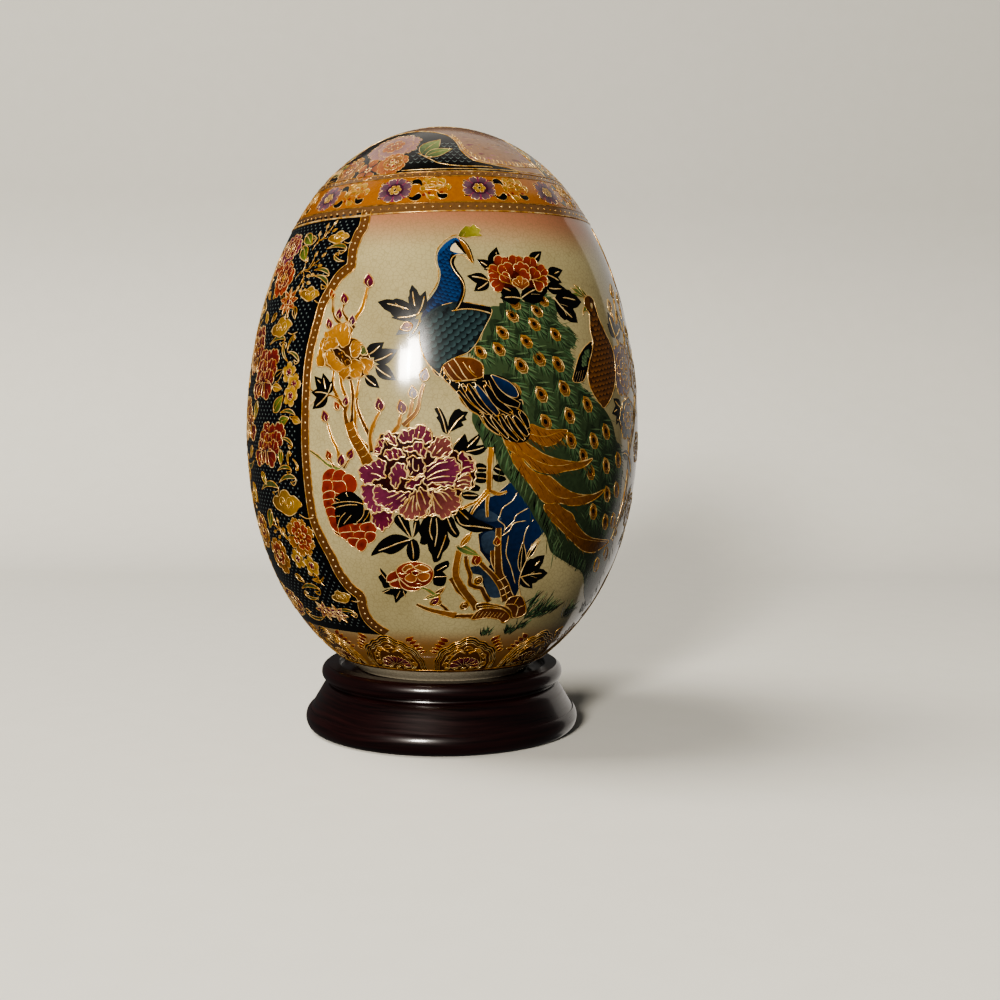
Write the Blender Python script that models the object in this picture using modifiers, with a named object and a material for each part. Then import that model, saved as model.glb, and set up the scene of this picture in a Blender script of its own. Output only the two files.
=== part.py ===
"""A painted porcelain egg of ostrich-egg size, and the turned wooden stand that it rests in.

Both pieces are turned shapes about the Z axis. The origin is the middle of the stand's
underside, +Z runs up the egg's axis, and the middle of the front panel's painting faces -Y.
"""

import math

import bpy

MM = 0.001  # the sizes below are in millimetres, and the scene is in metres

# Driving dimensions
TOTAL_HEIGHT = 178.0  # from the stand's underside to the tip of the egg
STAND_HEIGHT = 19.6  # to the flat rim that surrounds the egg's foot
SEAT_RADIUS = 30.9  # of the shallow seat turned into the stand's top
SEAT_DEPTH = 1.5
SEAT_GAP = 0.3  # between the egg's foot and the seat's floor

# The egg's outline, before its foot is cut flat: it narrows towards the top
EGG_BLUNT_POLE = 10.9  # height at which the round end would close
EGG_RADIUS = 58.1  # half of the egg's width, midway up its length
EGG_TAPER = (-0.065, 0.059, 0.039)  # weights of cos, cos^2 and cos^3 of the angle from the tip
FOOT_BEVEL = 0.8  # the foot's edge is softened where the glaze ends

# The stand's outline, from the top rim down to the underside
RIM_RADIUS = 35.3  # outer edge of the flat rim
BEAD_RADIUS = 36.2  # the bead below the rim, at its fullest
BEAD_HEIGHT = 17.3  # height of the fullest line of the bead
GROOVE_RADIUS = 34.9  # the groove under the bead
GROOVE_HEIGHT = 13.8
FLARE_END = (39.5, 6.3)  # radius and height where the straight flare starts to round under
FLARE_CORNER = (42.4, 1.7)  # where the flare would meet the curve that comes up from the sole
SOLE_RADIUS = 39.3  # the flat underside

# Faces
SEGMENTS = 56  # round each piece
EGG_RINGS = 36  # between the egg's tip and its foot
CURVE_STEPS = 6  # along each rounded stretch of the stand's outline


def clear_scene():
    for thing in list(bpy.data.objects):
        bpy.data.objects.remove(thing)


def glaze_or_wood(name, colour, roughness):
    """A plain Principled material."""
    material = bpy.data.materials.new(name)
    material.use_nodes = True
    shader = material.node_tree.nodes["Principled BSDF"]
    shader.inputs["Base Color"].default_value = (*colour, 1.0)
    shader.inputs["Roughness"].default_value = roughness
    shader.inputs["Metallic"].default_value = 0.0
    return material


def egg_outline_point(angle):
    """Radius and height of the egg's outline, at an angle from its tip."""
    cosine = math.cos(angle)
    fullness = 1.0 + sum(weight * cosine ** (power + 1) for power, weight in enumerate(EGG_TAPER))
    radius = EGG_RADIUS * math.sin(angle) * fullness
    middle = (TOTAL_HEIGHT + EGG_BLUNT_POLE) / 2
    height = middle + (TOTAL_HEIGHT - EGG_BLUNT_POLE) / 2 * cosine
    return radius, height


def egg_profile():
    """The outline from the tip down to the flat foot, then in to the axis."""
    foot = STAND_HEIGHT - SEAT_DEPTH + SEAT_GAP
    middle = (TOTAL_HEIGHT + EGG_BLUNT_POLE) / 2
    foot_angle = math.acos((foot - middle) / ((TOTAL_HEIGHT - EGG_BLUNT_POLE) / 2))
    profile = [egg_outline_point(foot_angle * step / EGG_RINGS) for step in range(EGG_RINGS)]
    foot_radius = egg_outline_point(foot_angle)[0]
    profile.append((foot_radius - FOOT_BEVEL * 0.3, foot + FOOT_BEVEL * 0.3))
    profile.append((foot_radius - FOOT_BEVEL, foot))
    profile.append((0.0, foot))
    return profile


def quarter_swell(start, end):
    """Points of a quarter of an ellipse from start to end, which leaves start along the radius."""
    points = []
    for step in range(1, CURVE_STEPS + 1):
        angle = math.pi / 2 * step / CURVE_STEPS
        radius = start[0] + (end[0] - start[0]) * math.sin(angle)
        height = start[1] + (end[1] - start[1]) * (1 - math.cos(angle))
        points.append((radius, height))
    return points


def rounded_corner(start, corner, end):
    """Points of a quadratic curve from start to end that rounds off the corner between them."""
    points = []
    for step in range(CURVE_STEPS + 1):
        share = step / CURVE_STEPS
        weights = ((1 - share) ** 2, 2 * share * (1 - share), share**2)
        radius = sum(w * point[0] for w, point in zip(weights, (start, corner, end)))
        height = sum(w * point[1] for w, point in zip(weights, (start, corner, end)))
        points.append((radius, height))
    return points


def stand_profile():
    """The outline from the seat's middle, over the rim and down the outside, to the underside."""
    seat = STAND_HEIGHT - SEAT_DEPTH
    profile = [(0.0, seat), (SEAT_RADIUS, seat), (SEAT_RADIUS, STAND_HEIGHT)]
    profile.append((RIM_RADIUS, STAND_HEIGHT))
    profile += quarter_swell((RIM_RADIUS, STAND_HEIGHT), (BEAD_RADIUS, BEAD_HEIGHT))
    profile += reversed(
        quarter_swell((GROOVE_RADIUS, GROOVE_HEIGHT + 0.4), (BEAD_RADIUS, BEAD_HEIGHT))[:-1]
    )
    profile.append((GROOVE_RADIUS, GROOVE_HEIGHT))
    profile += rounded_corner(FLARE_END, FLARE_CORNER, (SOLE_RADIUS, 0.0))
    profile.append((0.0, 0.0))
    return profile


def turned_piece(name, profile, material, collection):
    """Turns an outline about Z with a Screw modifier, and joins its ends on the axis."""
    mesh = bpy.data.meshes.new(name)
    points = [(radius * MM, 0.0, height * MM) for radius, height in profile]
    edges = [(index, index + 1) for index in range(len(points) - 1)]
    mesh.from_pydata(points, edges, [])
    piece = bpy.data.objects.new(name, mesh)
    collection.objects.link(piece)
    mesh.materials.append(material)
    screw = piece.modifiers.new("turned", "SCREW")
    screw.axis = "Z"
    screw.steps = SEGMENTS
    screw.render_steps = SEGMENTS
    screw.use_merge_vertices = True
    screw.merge_threshold = 0.00001
    screw.use_smooth_shade = True
    return piece


def main():
    clear_scene()
    collection = bpy.data.collections.new("painted_egg_on_stand")
    bpy.context.scene.collection.children.link(collection)
    glaze = glaze_or_wood("glazed_porcelain", (0.50, 0.36, 0.17), 0.15)
    wood = glaze_or_wood("lacquered_wood", (0.045, 0.008, 0.008), 0.30)
    turned_piece("egg", egg_profile(), glaze, collection)
    turned_piece("stand", stand_profile(), wood, collection)


main()
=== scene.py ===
"""A porcelain egg of ostrich-egg size, painted with peacocks and peonies in enamels and raised
gold, on its turned wooden stand. The object's lengths below are in millimetres until a mesh is
made, and those of the room round it are in metres."""

import math
import random

import bpy
import numpy as np
from mathutils import Matrix, Vector
from mathutils.geometry import delaunay_2d_cdt


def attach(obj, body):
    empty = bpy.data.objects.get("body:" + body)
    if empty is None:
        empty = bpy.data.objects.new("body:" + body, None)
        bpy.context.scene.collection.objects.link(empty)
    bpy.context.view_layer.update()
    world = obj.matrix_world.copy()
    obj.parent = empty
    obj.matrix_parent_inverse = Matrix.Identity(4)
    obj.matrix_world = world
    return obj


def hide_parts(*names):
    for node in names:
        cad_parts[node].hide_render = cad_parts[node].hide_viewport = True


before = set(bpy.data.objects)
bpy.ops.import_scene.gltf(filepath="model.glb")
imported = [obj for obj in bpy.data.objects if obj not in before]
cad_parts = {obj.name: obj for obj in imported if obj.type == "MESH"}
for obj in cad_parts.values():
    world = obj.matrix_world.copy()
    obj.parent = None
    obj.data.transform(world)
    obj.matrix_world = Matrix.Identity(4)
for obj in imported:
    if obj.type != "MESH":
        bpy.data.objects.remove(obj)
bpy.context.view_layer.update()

MM = 0.001


# ---------------------------------------------------------------------------------------------
# The stand: one block of mahogany turned on a lathe, stained dark red-brown and sprayed with
# lacquer. It has a seat for the egg, a flat rim, a full round bead, a groove and a flared foot.
# ---------------------------------------------------------------------------------------------

def linear(colour):
    """An sRGB hex colour as linear RGBA."""
    parts = [int(colour[place:place + 2], 16) / 255 for place in (1, 3, 5)]
    return tuple(p / 12.92 if p <= 0.04045 else ((p + 0.055) / 1.055) ** 2.4 for p in parts) + (1.0,)


def add(tree, kind, settings=None, **links):
    """A new node with its settings; a link's name is the socket's, with _ for a space, or its number."""
    node = tree.nodes.new(kind)
    for name, value in (settings or {}).items():
        setattr(node, name, value)
    for name, value in links.items():
        key = int(name[1:]) if name[0] == "n" and name[1:].isdigit() else name.replace("_", " ")
        socket = node.inputs[key]
        if isinstance(value, bpy.types.NodeSocket):
            tree.links.new(value, socket)
        else:
            socket.default_value = value
    return node


def ramp(tree, share, *stops):
    """The colour that a share picks from a run of stops, each a position and a hex colour."""
    node = add(tree, "ShaderNodeValToRGB", n0=share)
    elements = node.color_ramp.elements
    for element, (position, colour) in zip((elements[0], elements[1]), (stops[0], stops[-1])):
        element.position, element.color = position, linear(colour)
    for position, colour in stops[1:-1]:
        elements.new(position).color = linear(colour)
    return node.outputs[0]


def maths(tree, operation, *values, clamp=False):
    """What one Math node makes of its values."""
    links = {f"n{place}": value for place, value in enumerate(values)}
    return add(tree, "ShaderNodeMath", {"operation": operation, "use_clamp": clamp}, **links).outputs[0]


def mixed(tree, share, first, second):
    """A colour that turns into another, given in hex, as a share goes from 0 to 1."""
    return add(tree, "ShaderNodeMix", {"data_type": "RGBA"}, n0=share, n6=first, n7=linear(second)).outputs[2]


def noise(tree, place, scale, detail):
    """A soft noise between 0 and 1."""
    return add(tree, "ShaderNodeTexNoise", Vector=place, Scale=scale, Detail=detail).outputs[0]


def faded(tree, value, start, end, low=0.0, high=1.0, kind="LINEAR"):
    """A number that goes from low to high while the value goes from start to end."""
    ends = {"n1": start, "n2": end, "n3": low, "n4": high}
    return add(tree, "ShaderNodeMapRange", {"interpolation_type": kind}, Value=value, **ends).outputs[0]


def new_finish(name, **values):
    """A material with a Principled shader, and its tree."""
    finish = bpy.data.materials.new(name)
    finish.use_nodes = True
    shader = finish.node_tree.nodes["Principled BSDF"]
    for key, value in values.items():
        shader.inputs[key.replace("_", " ")].default_value = value
    return finish, finish.node_tree, shader


def new_tree(name, *inputs):
    """A Geometry Nodes tree with named inputs after its geometry, its input and its output."""
    tree = bpy.data.node_groups.new(name, "GeometryNodeTree")
    tree.interface.new_socket("Geometry", in_out="INPUT", socket_type="NodeSocketGeometry")
    for label, kind, value in inputs:
        socket = tree.interface.new_socket(label, in_out="INPUT", socket_type="NodeSocket" + kind)
        if value is not None:
            socket.default_value = value
    tree.interface.new_socket("Geometry", in_out="OUTPUT", socket_type="NodeSocketGeometry")
    return tree, add(tree, "NodeGroupInput").outputs, add(tree, "NodeGroupOutput").inputs[0]


def grown(name, mesh, tree, **values):
    """A piece whose plain mesh is what the tree makes of another mesh."""
    source = bpy.data.objects.new(name, mesh)
    bpy.context.scene.collection.objects.link(source)
    modifier = source.modifiers.new("nodes", "NODES")
    modifier.node_group = tree
    for socket in tree.interface.items_tree:
        if socket.in_out == "INPUT" and socket.name.replace(" ", "_") in values:
            modifier[socket.identifier] = values[socket.name.replace(" ", "_")]
    depsgraph = bpy.context.evaluated_depsgraph_get()
    made = bpy.data.meshes.new_from_object(source.evaluated_get(depsgraph))
    source.modifiers.remove(modifier)
    source.data = made
    made.name = name
    return source


# The lathe: row after row of points round Z, each at the radius and height of a profile's point.
turning, given, result = new_tree("turned on a lathe", ("Turns", "Int", 192), ("Finish", "Material", None))
count = add(turning, "GeometryNodeAttributeDomainSize", Geometry=given["Geometry"]).outputs["Point Count"]
around = maths(turning, "ADD", given["Turns"], 1.0)
blank = add(turning, "GeometryNodeMeshGrid", Vertices_X=count, Vertices_Y=around).outputs["Mesh"]
index = add(turning, "GeometryNodeInputIndex").outputs[0]
row = maths(turning, "FLOOR", maths(turning, "DIVIDE", index, around))
step = maths(turning, "MODULO", index, around)
angle = maths(turning, "MULTIPLY", maths(turning, "DIVIDE", step, given["Turns"]), 2 * math.pi)
at = add(turning, "GeometryNodeInputPosition").outputs[0]
profile = add(
    turning, "GeometryNodeSampleIndex", {"data_type": "FLOAT_VECTOR"},
    Geometry=given["Geometry"], Value=at, Index=row,
).outputs[0]
swung = add(
    turning, "ShaderNodeVectorRotate", {"rotation_type": "Z_AXIS"}, Vector=profile, Angle=angle
).outputs[0]
turned = add(turning, "GeometryNodeSetPosition", Geometry=blank, Position=swung).outputs[0]
turned = add(turning, "GeometryNodeMergeByDistance", Geometry=turned, Distance=0.000002).outputs[0]
turned = add(turning, "GeometryNodeSetShadeSmooth", Geometry=turned).outputs[0]
turned = add(turning, "GeometryNodeRealizeInstances", Geometry=turned).outputs[0]
turned = add(turning, "GeometryNodeSetMaterial", Geometry=turned, Material=given["Finish"]).outputs[0]
turning.links.new(turned, result)


def turned_piece(name, profile_points, finish, turns, crease):
    """A closed turned piece, from an outline of (radius, height) that runs down its outer side."""
    outline = bpy.data.meshes.new(name)
    outline.from_pydata([(r * MM, 0.0, z * MM) for r, z in profile_points], [], [])
    piece = grown(name, outline, turning, Turns=turns, Finish=finish)
    piece.data.set_sharp_from_angle(angle=math.radians(crease))
    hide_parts(name)
    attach(piece, "root")
    return piece


def arc(centre, radii, start, end, steps):
    """Points along part of an ellipse, its angles in degrees from +X."""
    angles = [math.radians(start + (end - start) * k / steps) for k in range(steps + 1)]
    return [(centre[0] + radii[0] * math.cos(a), centre[1] + radii[1] * math.sin(a)) for a in angles]


stand_outline = [(0, 18.1), (30.6, 18.1), (30.9, 18.4), (30.9, 19.3), (31.2, 19.6), (34.6, 19.6)]
stand_outline += arc((34.0, 17.0), (2.2, 2.55), 75, -90, 16)  # the bead
stand_outline += [(34.0, 14.3), (34.2, 13.9), (35.1, 13.6)]  # the groove
stand_outline += [(36.2, 11.9), (37.3, 10.0), (38.4, 8.1), (39.5, 6.3)]  # the flare
stand_outline += arc((38.0, 3.6), (2.9, 3.55), 52, -78, 14)  # its rounded foot
stand_outline += [(37.6, 0.05), (37.0, 0.0), (0, 0.0)]

# Lacquered mahogany: nearly black red-brown, with faint pores that run round the turning and a
# satin clear coat. The pores are drawn about 1 mm apart, because real ones are too fine to show.
mahogany, tree, shader = new_finish(
    "lacquered mahogany", Roughness=0.33, IOR=1.4, Coat_Weight=0.6, Coat_Roughness=0.12
)
place = add(tree, "ShaderNodeTexCoord").outputs["Object"]
split = add(tree, "ShaderNodeSeparateXYZ", Vector=place).outputs
ring = maths(tree, "MULTIPLY_ADD", noise(tree, place, 22.0, 2.0), 0.004, split["Z"])
rings = add(tree, "ShaderNodeCombineXYZ", X=split["X"], Y=split["Y"], Z=ring).outputs[0]
rings = add(
    tree, "ShaderNodeMapping", {"vector_type": "POINT"}, Vector=rings, Scale=(30.0, 30.0, 900.0)
).outputs[0]
pores = add(tree, "ShaderNodeTexNoise", Vector=rings, Scale=1.0, Detail=4.0, Roughness=0.7).outputs[0]
tree.links.new(ramp(tree, pores, (0.35, "#080203"), (0.72, "#260c0c")), shader.inputs["Base Color"])
tree.links.new(faded(tree, pores, 0.3, 0.7, 0.26, 0.40), shader.inputs["Roughness"])
relief = add(tree, "ShaderNodeBump", Strength=0.25, Distance=0.00006, Height=pores).outputs[0]
tree.links.new(relief, shader.inputs["Normal"])

stand = turned_piece("stand", stand_outline, mahogany, 224, 40)


# ---------------------------------------------------------------------------------------------
# The egg: slip-cast porcelain with a clear glaze over a cream body, fired until the glaze
# crazed into a fine net. Its foot is cut flat and wiped bare, and sits in the stand's seat.
# ---------------------------------------------------------------------------------------------

EGG_TIP = 178.0  # height of the tip, over the gilding
EGG_BLUNT_POLE = 10.9  # where the round end would close
EGG_RADIUS = 58.1
EGG_TAPER = (-0.065, 0.059, 0.039)  # weights of cos, cos^2 and cos^3 of the angle from the tip
GLAZE_DEPTH = 0.34  # the glaze lies this far inside the outline, which leaves room for the gold
FOOT_HEIGHT = 18.4

angles = np.linspace(0.0, math.pi, 6001)
cosines = np.cos(angles)
radii = EGG_RADIUS * np.sin(angles) * (
    1 + EGG_TAPER[0] * cosines + EGG_TAPER[1] * cosines**2 + EGG_TAPER[2] * cosines**3
)
heights = (EGG_TIP + EGG_BLUNT_POLE) / 2 + (EGG_TIP - EGG_BLUNT_POLE) / 2 * cosines
lengths = np.concatenate([[0], np.cumsum(np.hypot(np.diff(radii), np.diff(heights)))])
# v is the length along the outline, up from the egg's widest ring.
levels = lengths[radii.argmax()] - lengths
slopes = np.gradient(radii, lengths), np.gradient(heights, lengths)
TOP_V = levels[0]


def radius_at(v):
    """The egg's radius at a length v up its outline."""
    return np.interp(-np.asarray(v, float), -levels, radii)


def on_egg(phi, v, lift):
    """Points in metres at an angle round from the front and a length v up the outline, and normals."""
    phi, v = np.asarray(phi, float), np.asarray(v, float)
    down_r, down_z = (np.interp(-v, -levels, slope) for slope in slopes)
    size = np.hypot(down_r, down_z)
    out_r, out_z = -down_z / size, down_r / size
    r = radius_at(v) + out_r * (lift - GLAZE_DEPTH)
    z = np.interp(-v, -levels, heights) + out_z * (lift - GLAZE_DEPTH)
    spot = np.stack([r * np.sin(phi), -r * np.cos(phi), z], -1) * MM
    return spot, np.stack([out_r * np.sin(phi), -out_r * np.cos(phi), out_z], -1)


# Crackled ivory glaze: greenish cream under clear glaze, flushed salmon under the top band and
# orange-yellow at the foot. The crazing is a dark net, drawn coarser than it is so that it shows.
FLUSH_TOP, FLUSH_END = 150.0, 138.5  # heights between which the salmon flush fades out
WARM_END = 37.0
FOOT_LINE = -74.7  # v of the last brown line, below which the glaze is wiped off
FOOT_CUT = -80.2  # v of the edge where the foot is cut flat
BARE_FOOT = on_egg(0.0, FOOT_LINE, 0.0)[0][2] / MM
ivory, tree, shader = new_finish(
    "crackled ivory glaze", Roughness=0.12, IOR=1.5, Coat_Weight=0.3, Coat_Roughness=0.05
)
place = add(tree, "ShaderNodeTexCoord").outputs["Object"]
height = add(tree, "ShaderNodeSeparateXYZ", Vector=place).outputs["Z"]
cloudy = noise(tree, place, 45.0, 3.0)
cream = ramp(tree, cloudy, (0.3, "#988c64"), (0.75, "#b4a87e"))
drift = maths(tree, "MULTIPLY_ADD", cloudy, 0.004, height)
flush = faded(tree, drift, FLUSH_END * MM, FLUSH_TOP * MM, kind="SMOOTHSTEP")
body = mixed(tree, flush, cream, "#9c6a4e")
warm = faded(tree, height, WARM_END * MM, (WARM_END - 6) * MM, kind="SMOOTHSTEP")
body = mixed(tree, warm, body, "#8a6236")
bare = faded(tree, height, BARE_FOOT * MM, (BARE_FOOT - 0.1) * MM)
body = mixed(tree, bare, body, "#c8bfa8")
CRAZE = 1.15  # between the hairlines, where the real ones lie closer
wander = add(tree, "ShaderNodeTexNoise", Vector=place, Scale=500.0, Detail=1.0).outputs["Color"]
wander = add(tree, "ShaderNodeVectorMath", {"operation": "SCALE"}, Vector=wander, Scale=0.0006).outputs[0]
wander = add(tree, "ShaderNodeVectorMath", {"operation": "ADD"}, n0=place, n1=wander).outputs[0]
net = add(
    tree, "ShaderNodeTexVoronoi", {"feature": "DISTANCE_TO_EDGE"}, Vector=wander, Scale=1 / (CRAZE * MM)
).outputs["Distance"]
body = mixed(tree, faded(tree, net, 0.0, 0.10, 0.34, 0.0), body, "#6e6040")
tree.links.new(body, shader.inputs["Base Color"])

EGG_RINGS = 190
egg_outline = []
for ring in range(EGG_RINGS):
    level = TOP_V + (FOOT_CUT - TOP_V) * ring / (EGG_RINGS - 1)
    spot = on_egg(math.pi / 2, level, 0.0)[0] / MM
    egg_outline.append((max(spot[0], 0.0) if ring else 0.0, spot[2]))
egg_outline += [(egg_outline[-1][0] - 0.5, FOOT_HEIGHT), (0.0, FOOT_HEIGHT)]
egg = turned_piece("egg", egg_outline, ivory, 256, 40)


# ---------------------------------------------------------------------------------------------
# How the decorator works: enamels are laid one over another in flat washes, each shape over the
# ones before it, and gold is trailed over them in raised lines and dots. A Painting holds one
# zone's shapes in order, in millimetres on its own chart of the egg, and makes them as thin skins.
# ---------------------------------------------------------------------------------------------

ENAMEL_LIFT = 0.06  # the enamel's own thickness over the glaze
ENAMEL_ROOT = -0.05  # its underside, just under the glaze so that no gap shows
GILT_LIFT = 0.03  # of the middle of each line and dot over the glaze
GILT_WIDTH = 1.3  # a dot's real width over its drawn one; a line comes out half as wide as that
MESH_PITCH = 2.3  # between the free points that let a skin follow the egg

# Each enamel is a glass coloured by one pigment: its deepest colour where it pools and its palest
# where it is brushed thin. The attribute "wash" runs from 0 to 1 between them over each shape; on
# the peacock's train and plumes it also runs dark towards the lower right as painted shade.
PIGMENTS = {
    "iron red": ("#340802", "#8c3010"),
    "vermilion": ("#480c02", "#802810"),
    "manganese maroon": ("#2a0410", "#661e36"),
    "wine": ("#34061a", "#702c46"),
    "blush": ("#340410", "#7e4640"),
    "deep red": ("#240304", "#6e201a"),
    "moss": ("#222c0c", "#606e2a"),
    "straw": ("#5e4010", "#a8822e"),
    "tan": ("#543c18", "#94743c"),
    "dot grey": ("#485250", "#5e6864"),
    "sienna": ("#280e04", "#6c3c16"),
    "dusty rose": ("#563634", "#8a6660"),
    "plum": ("#1c0410", "#5a2c48"),
    "plum mist": ("#241016", "#644854"),
    "cobalt": ("#030a18", "#10284c"),
    "peacock blue": ("#04122e", "#163e6e"),
    "slate blue": ("#121c28", "#38495c"),
    "teal": ("#080f12", "#384e50"),
    "train green": ("#111a10", "#38482e"),
    "copper green": ("#18301a", "#587850"),
    "leaf green": ("#22341a", "#6c7a3c"),
    "sage": ("#2c4028", "#6a8058"),
    "lime": ("#34380e", "#8c8634"),
    "amber": ("#3a1e02", "#8a560c"),
    "yellow": ("#623a0a", "#a47026"),
    "hen brown": ("#2e1806", "#8c5a2c"),
    "umber": ("#241003", "#643c14"),
    "border brown": ("#44301a", "#785634"),
    "walnut": ("#26180c", "#58381c"),
    "orange ground": ("#7a4408", "#9c621c"),
    "black": ("#010101", "#060504"),
    "midnight": ("#010103", "#03050a"),
    "cream": ("#9a8048", "#d4c294"),
    "rose": ("#5e2c34", "#a87870"),
    "lilac": ("#3c303e", "#7a6a7c"),
    "coral": ("#541e06", "#94541e"),
    "peach": ("#604432", "#88684e"),
    "olive": ("#161c0c", "#4c5428"),
}
enamels = {}
for pigment, (deep, pale) in PIGMENTS.items():
    enamel, tree, shader = new_finish(pigment + " enamel", Roughness=0.2, IOR=1.5)
    wash = add(tree, "ShaderNodeAttribute", {"attribute_name": "wash"}).outputs["Fac"]
    place = add(tree, "ShaderNodeTexCoord").outputs["Object"]
    streak = maths(tree, "MULTIPLY_ADD", noise(tree, place, 900.0, 2.0), 0.7, -0.35)
    wash = maths(tree, "ADD", wash, streak, clamp=True)
    tree.links.new(mixed(tree, wash, linear(deep), pale), shader.inputs["Base Color"])
    enamels[pigment] = enamel

# Gold burnished over raised slip. The attribute "tone" says how bright each line is: creamy on
# the leaves and flowers, where the slip shows through and partly as painted highlight where the
# lines catch the light, and brown and dull on the bands.
gilt, tree, shader = new_finish("gold on raised slip", Metallic=0.45, Roughness=0.26)
tone = add(tree, "ShaderNodeAttribute", {"attribute_name": "tone"}).outputs["Fac"]
place = add(tree, "ShaderNodeTexCoord").outputs["Object"]
# Noise that varies the tone along each line: partly wear, partly painted glints of light.
wear_and_glint = maths(tree, "MULTIPLY_ADD", noise(tree, place, 520.0, 2.0), 1.5, -0.75)
tone = maths(tree, "ADD", tone, wear_and_glint, clamp=True)
colour = ramp(tree, tone, (0.0, "#5a3408"), (0.5, "#c08a38"), (1.0, "#fcdea0"))
tree.links.new(colour, shader.inputs["Base Color"])
DULL, GOLDEN, ROSY, CREAMY = 0.3, 0.6, 0.72, 0.85


def gold_tree(name):
    """A new tree for gold, its input and result, and the lines' own outward way and width."""
    tree, given, result = new_tree(name, ("Finish", "Material", None))
    outward = add(tree, "GeometryNodeInputNamedAttribute", {"data_type": "FLOAT_VECTOR"}, Name="outward")
    width = add(tree, "GeometryNodeInputNamedAttribute", Name="width")
    return tree, given, result, outward.outputs[0], width.outputs[0]


# The trailing tree: every polyline becomes a low rounded ridge on the egg, as wide as its own
# "width" says and standing out along "outward". The bead tree sets a low dome on every point.
trailing, given, result, outward, width = gold_tree("gold trailed in lines")
path = add(trailing, "GeometryNodeMeshToCurve", Mesh=given["Geometry"]).outputs[0]
path = add(trailing, "GeometryNodeSetCurveNormal", {"mode": "FREE"}, Curve=path, Normal=outward).outputs[0]
section = add(
    trailing, "GeometryNodeCurvePrimitiveCircle", {"mode": "RADIUS"}, Resolution=6, Radius=1.0
).outputs[0]
section = add(trailing, "GeometryNodeTransform", Geometry=section, Scale=(0.5, 0.5, 1.0)).outputs[0]
ridge = add(
    trailing, "GeometryNodeCurveToMesh", Curve=path, Profile_Curve=section, Scale=width, Fill_Caps=True
).outputs[0]
ridge = add(trailing, "GeometryNodeRealizeInstances", Geometry=ridge).outputs[0]
ridge = add(trailing, "GeometryNodeSetMaterial", Geometry=ridge, Material=given["Finish"]).outputs[0]
trailing.links.new(ridge, result)

beading, given, result, outward, width = gold_tree("gold set in dots")
dome = add(beading, "GeometryNodeMeshUVSphere", Segments=7, Rings=4, Radius=1.0).outputs[0]
dome = add(beading, "GeometryNodeTransform", Geometry=dome, Scale=(1.0, 1.0, 0.5)).outputs[0]
upright = add(beading, "FunctionNodeAlignRotationToVector", {"axis": "Z"}, Vector=outward).outputs[0]
domes = add(
    beading, "GeometryNodeInstanceOnPoints", Points=given["Geometry"], Instance=dome,
    Rotation=upright, Scale=width,
).outputs[0]
domes = add(beading, "GeometryNodeRealizeInstances", Geometry=domes).outputs[0]
domes = add(beading, "GeometryNodeSetMaterial", Geometry=domes, Material=given["Finish"]).outputs[0]
beading.links.new(domes, result)


def smooth(points, closed=False, pitch=0.6):
    """A Catmull-Rom curve through given points, with a point about every pitch."""
    knots = np.array(points, float)
    ends = (knots[-1:], knots[:1], knots[1:2]) if closed else (knots[:1] * 2 - knots[1:2],) + (
        knots[-1:] * 2 - knots[-2:-1],)
    padded = np.concatenate([ends[0], knots, *ends[1:]])
    curve = []
    for k in range(1, len(padded) - 2):
        a, b, c, d = padded[k - 1:k + 3]
        steps = max(1, round(math.dist(b, c) / pitch))
        for t in np.arange(steps) / steps:
            curve.append(
                b + 0.5 * t * (c - a + t * (2 * a - 5 * b + 4 * c - d + t * (3 * (b - c) + d - a)))
            )
    return np.array(curve) if closed else np.array(curve + [padded[-2]])


def inside(spots, outline):
    """Which of the spots an outline holds."""
    low, high = outline.min(0), outline.max(0)
    held = ((spots >= low) & (spots <= high)).all(1)
    near = np.flatnonzero(held)
    if len(near):
        x, y = spots[near, 0][:, None], spots[near, 1][:, None]
        (x0, y0), (x1, y1) = outline.T, np.roll(outline, -1, 0).T
        crosses = (y0 > y) != (y1 > y)
        where = x0 + (y - y0) * (x1 - x0) / np.where(y1 == y0, 1e-9, y1 - y0)
        held[near] = (crosses & (x < where)).sum(1) % 2 == 1
    return held


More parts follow.
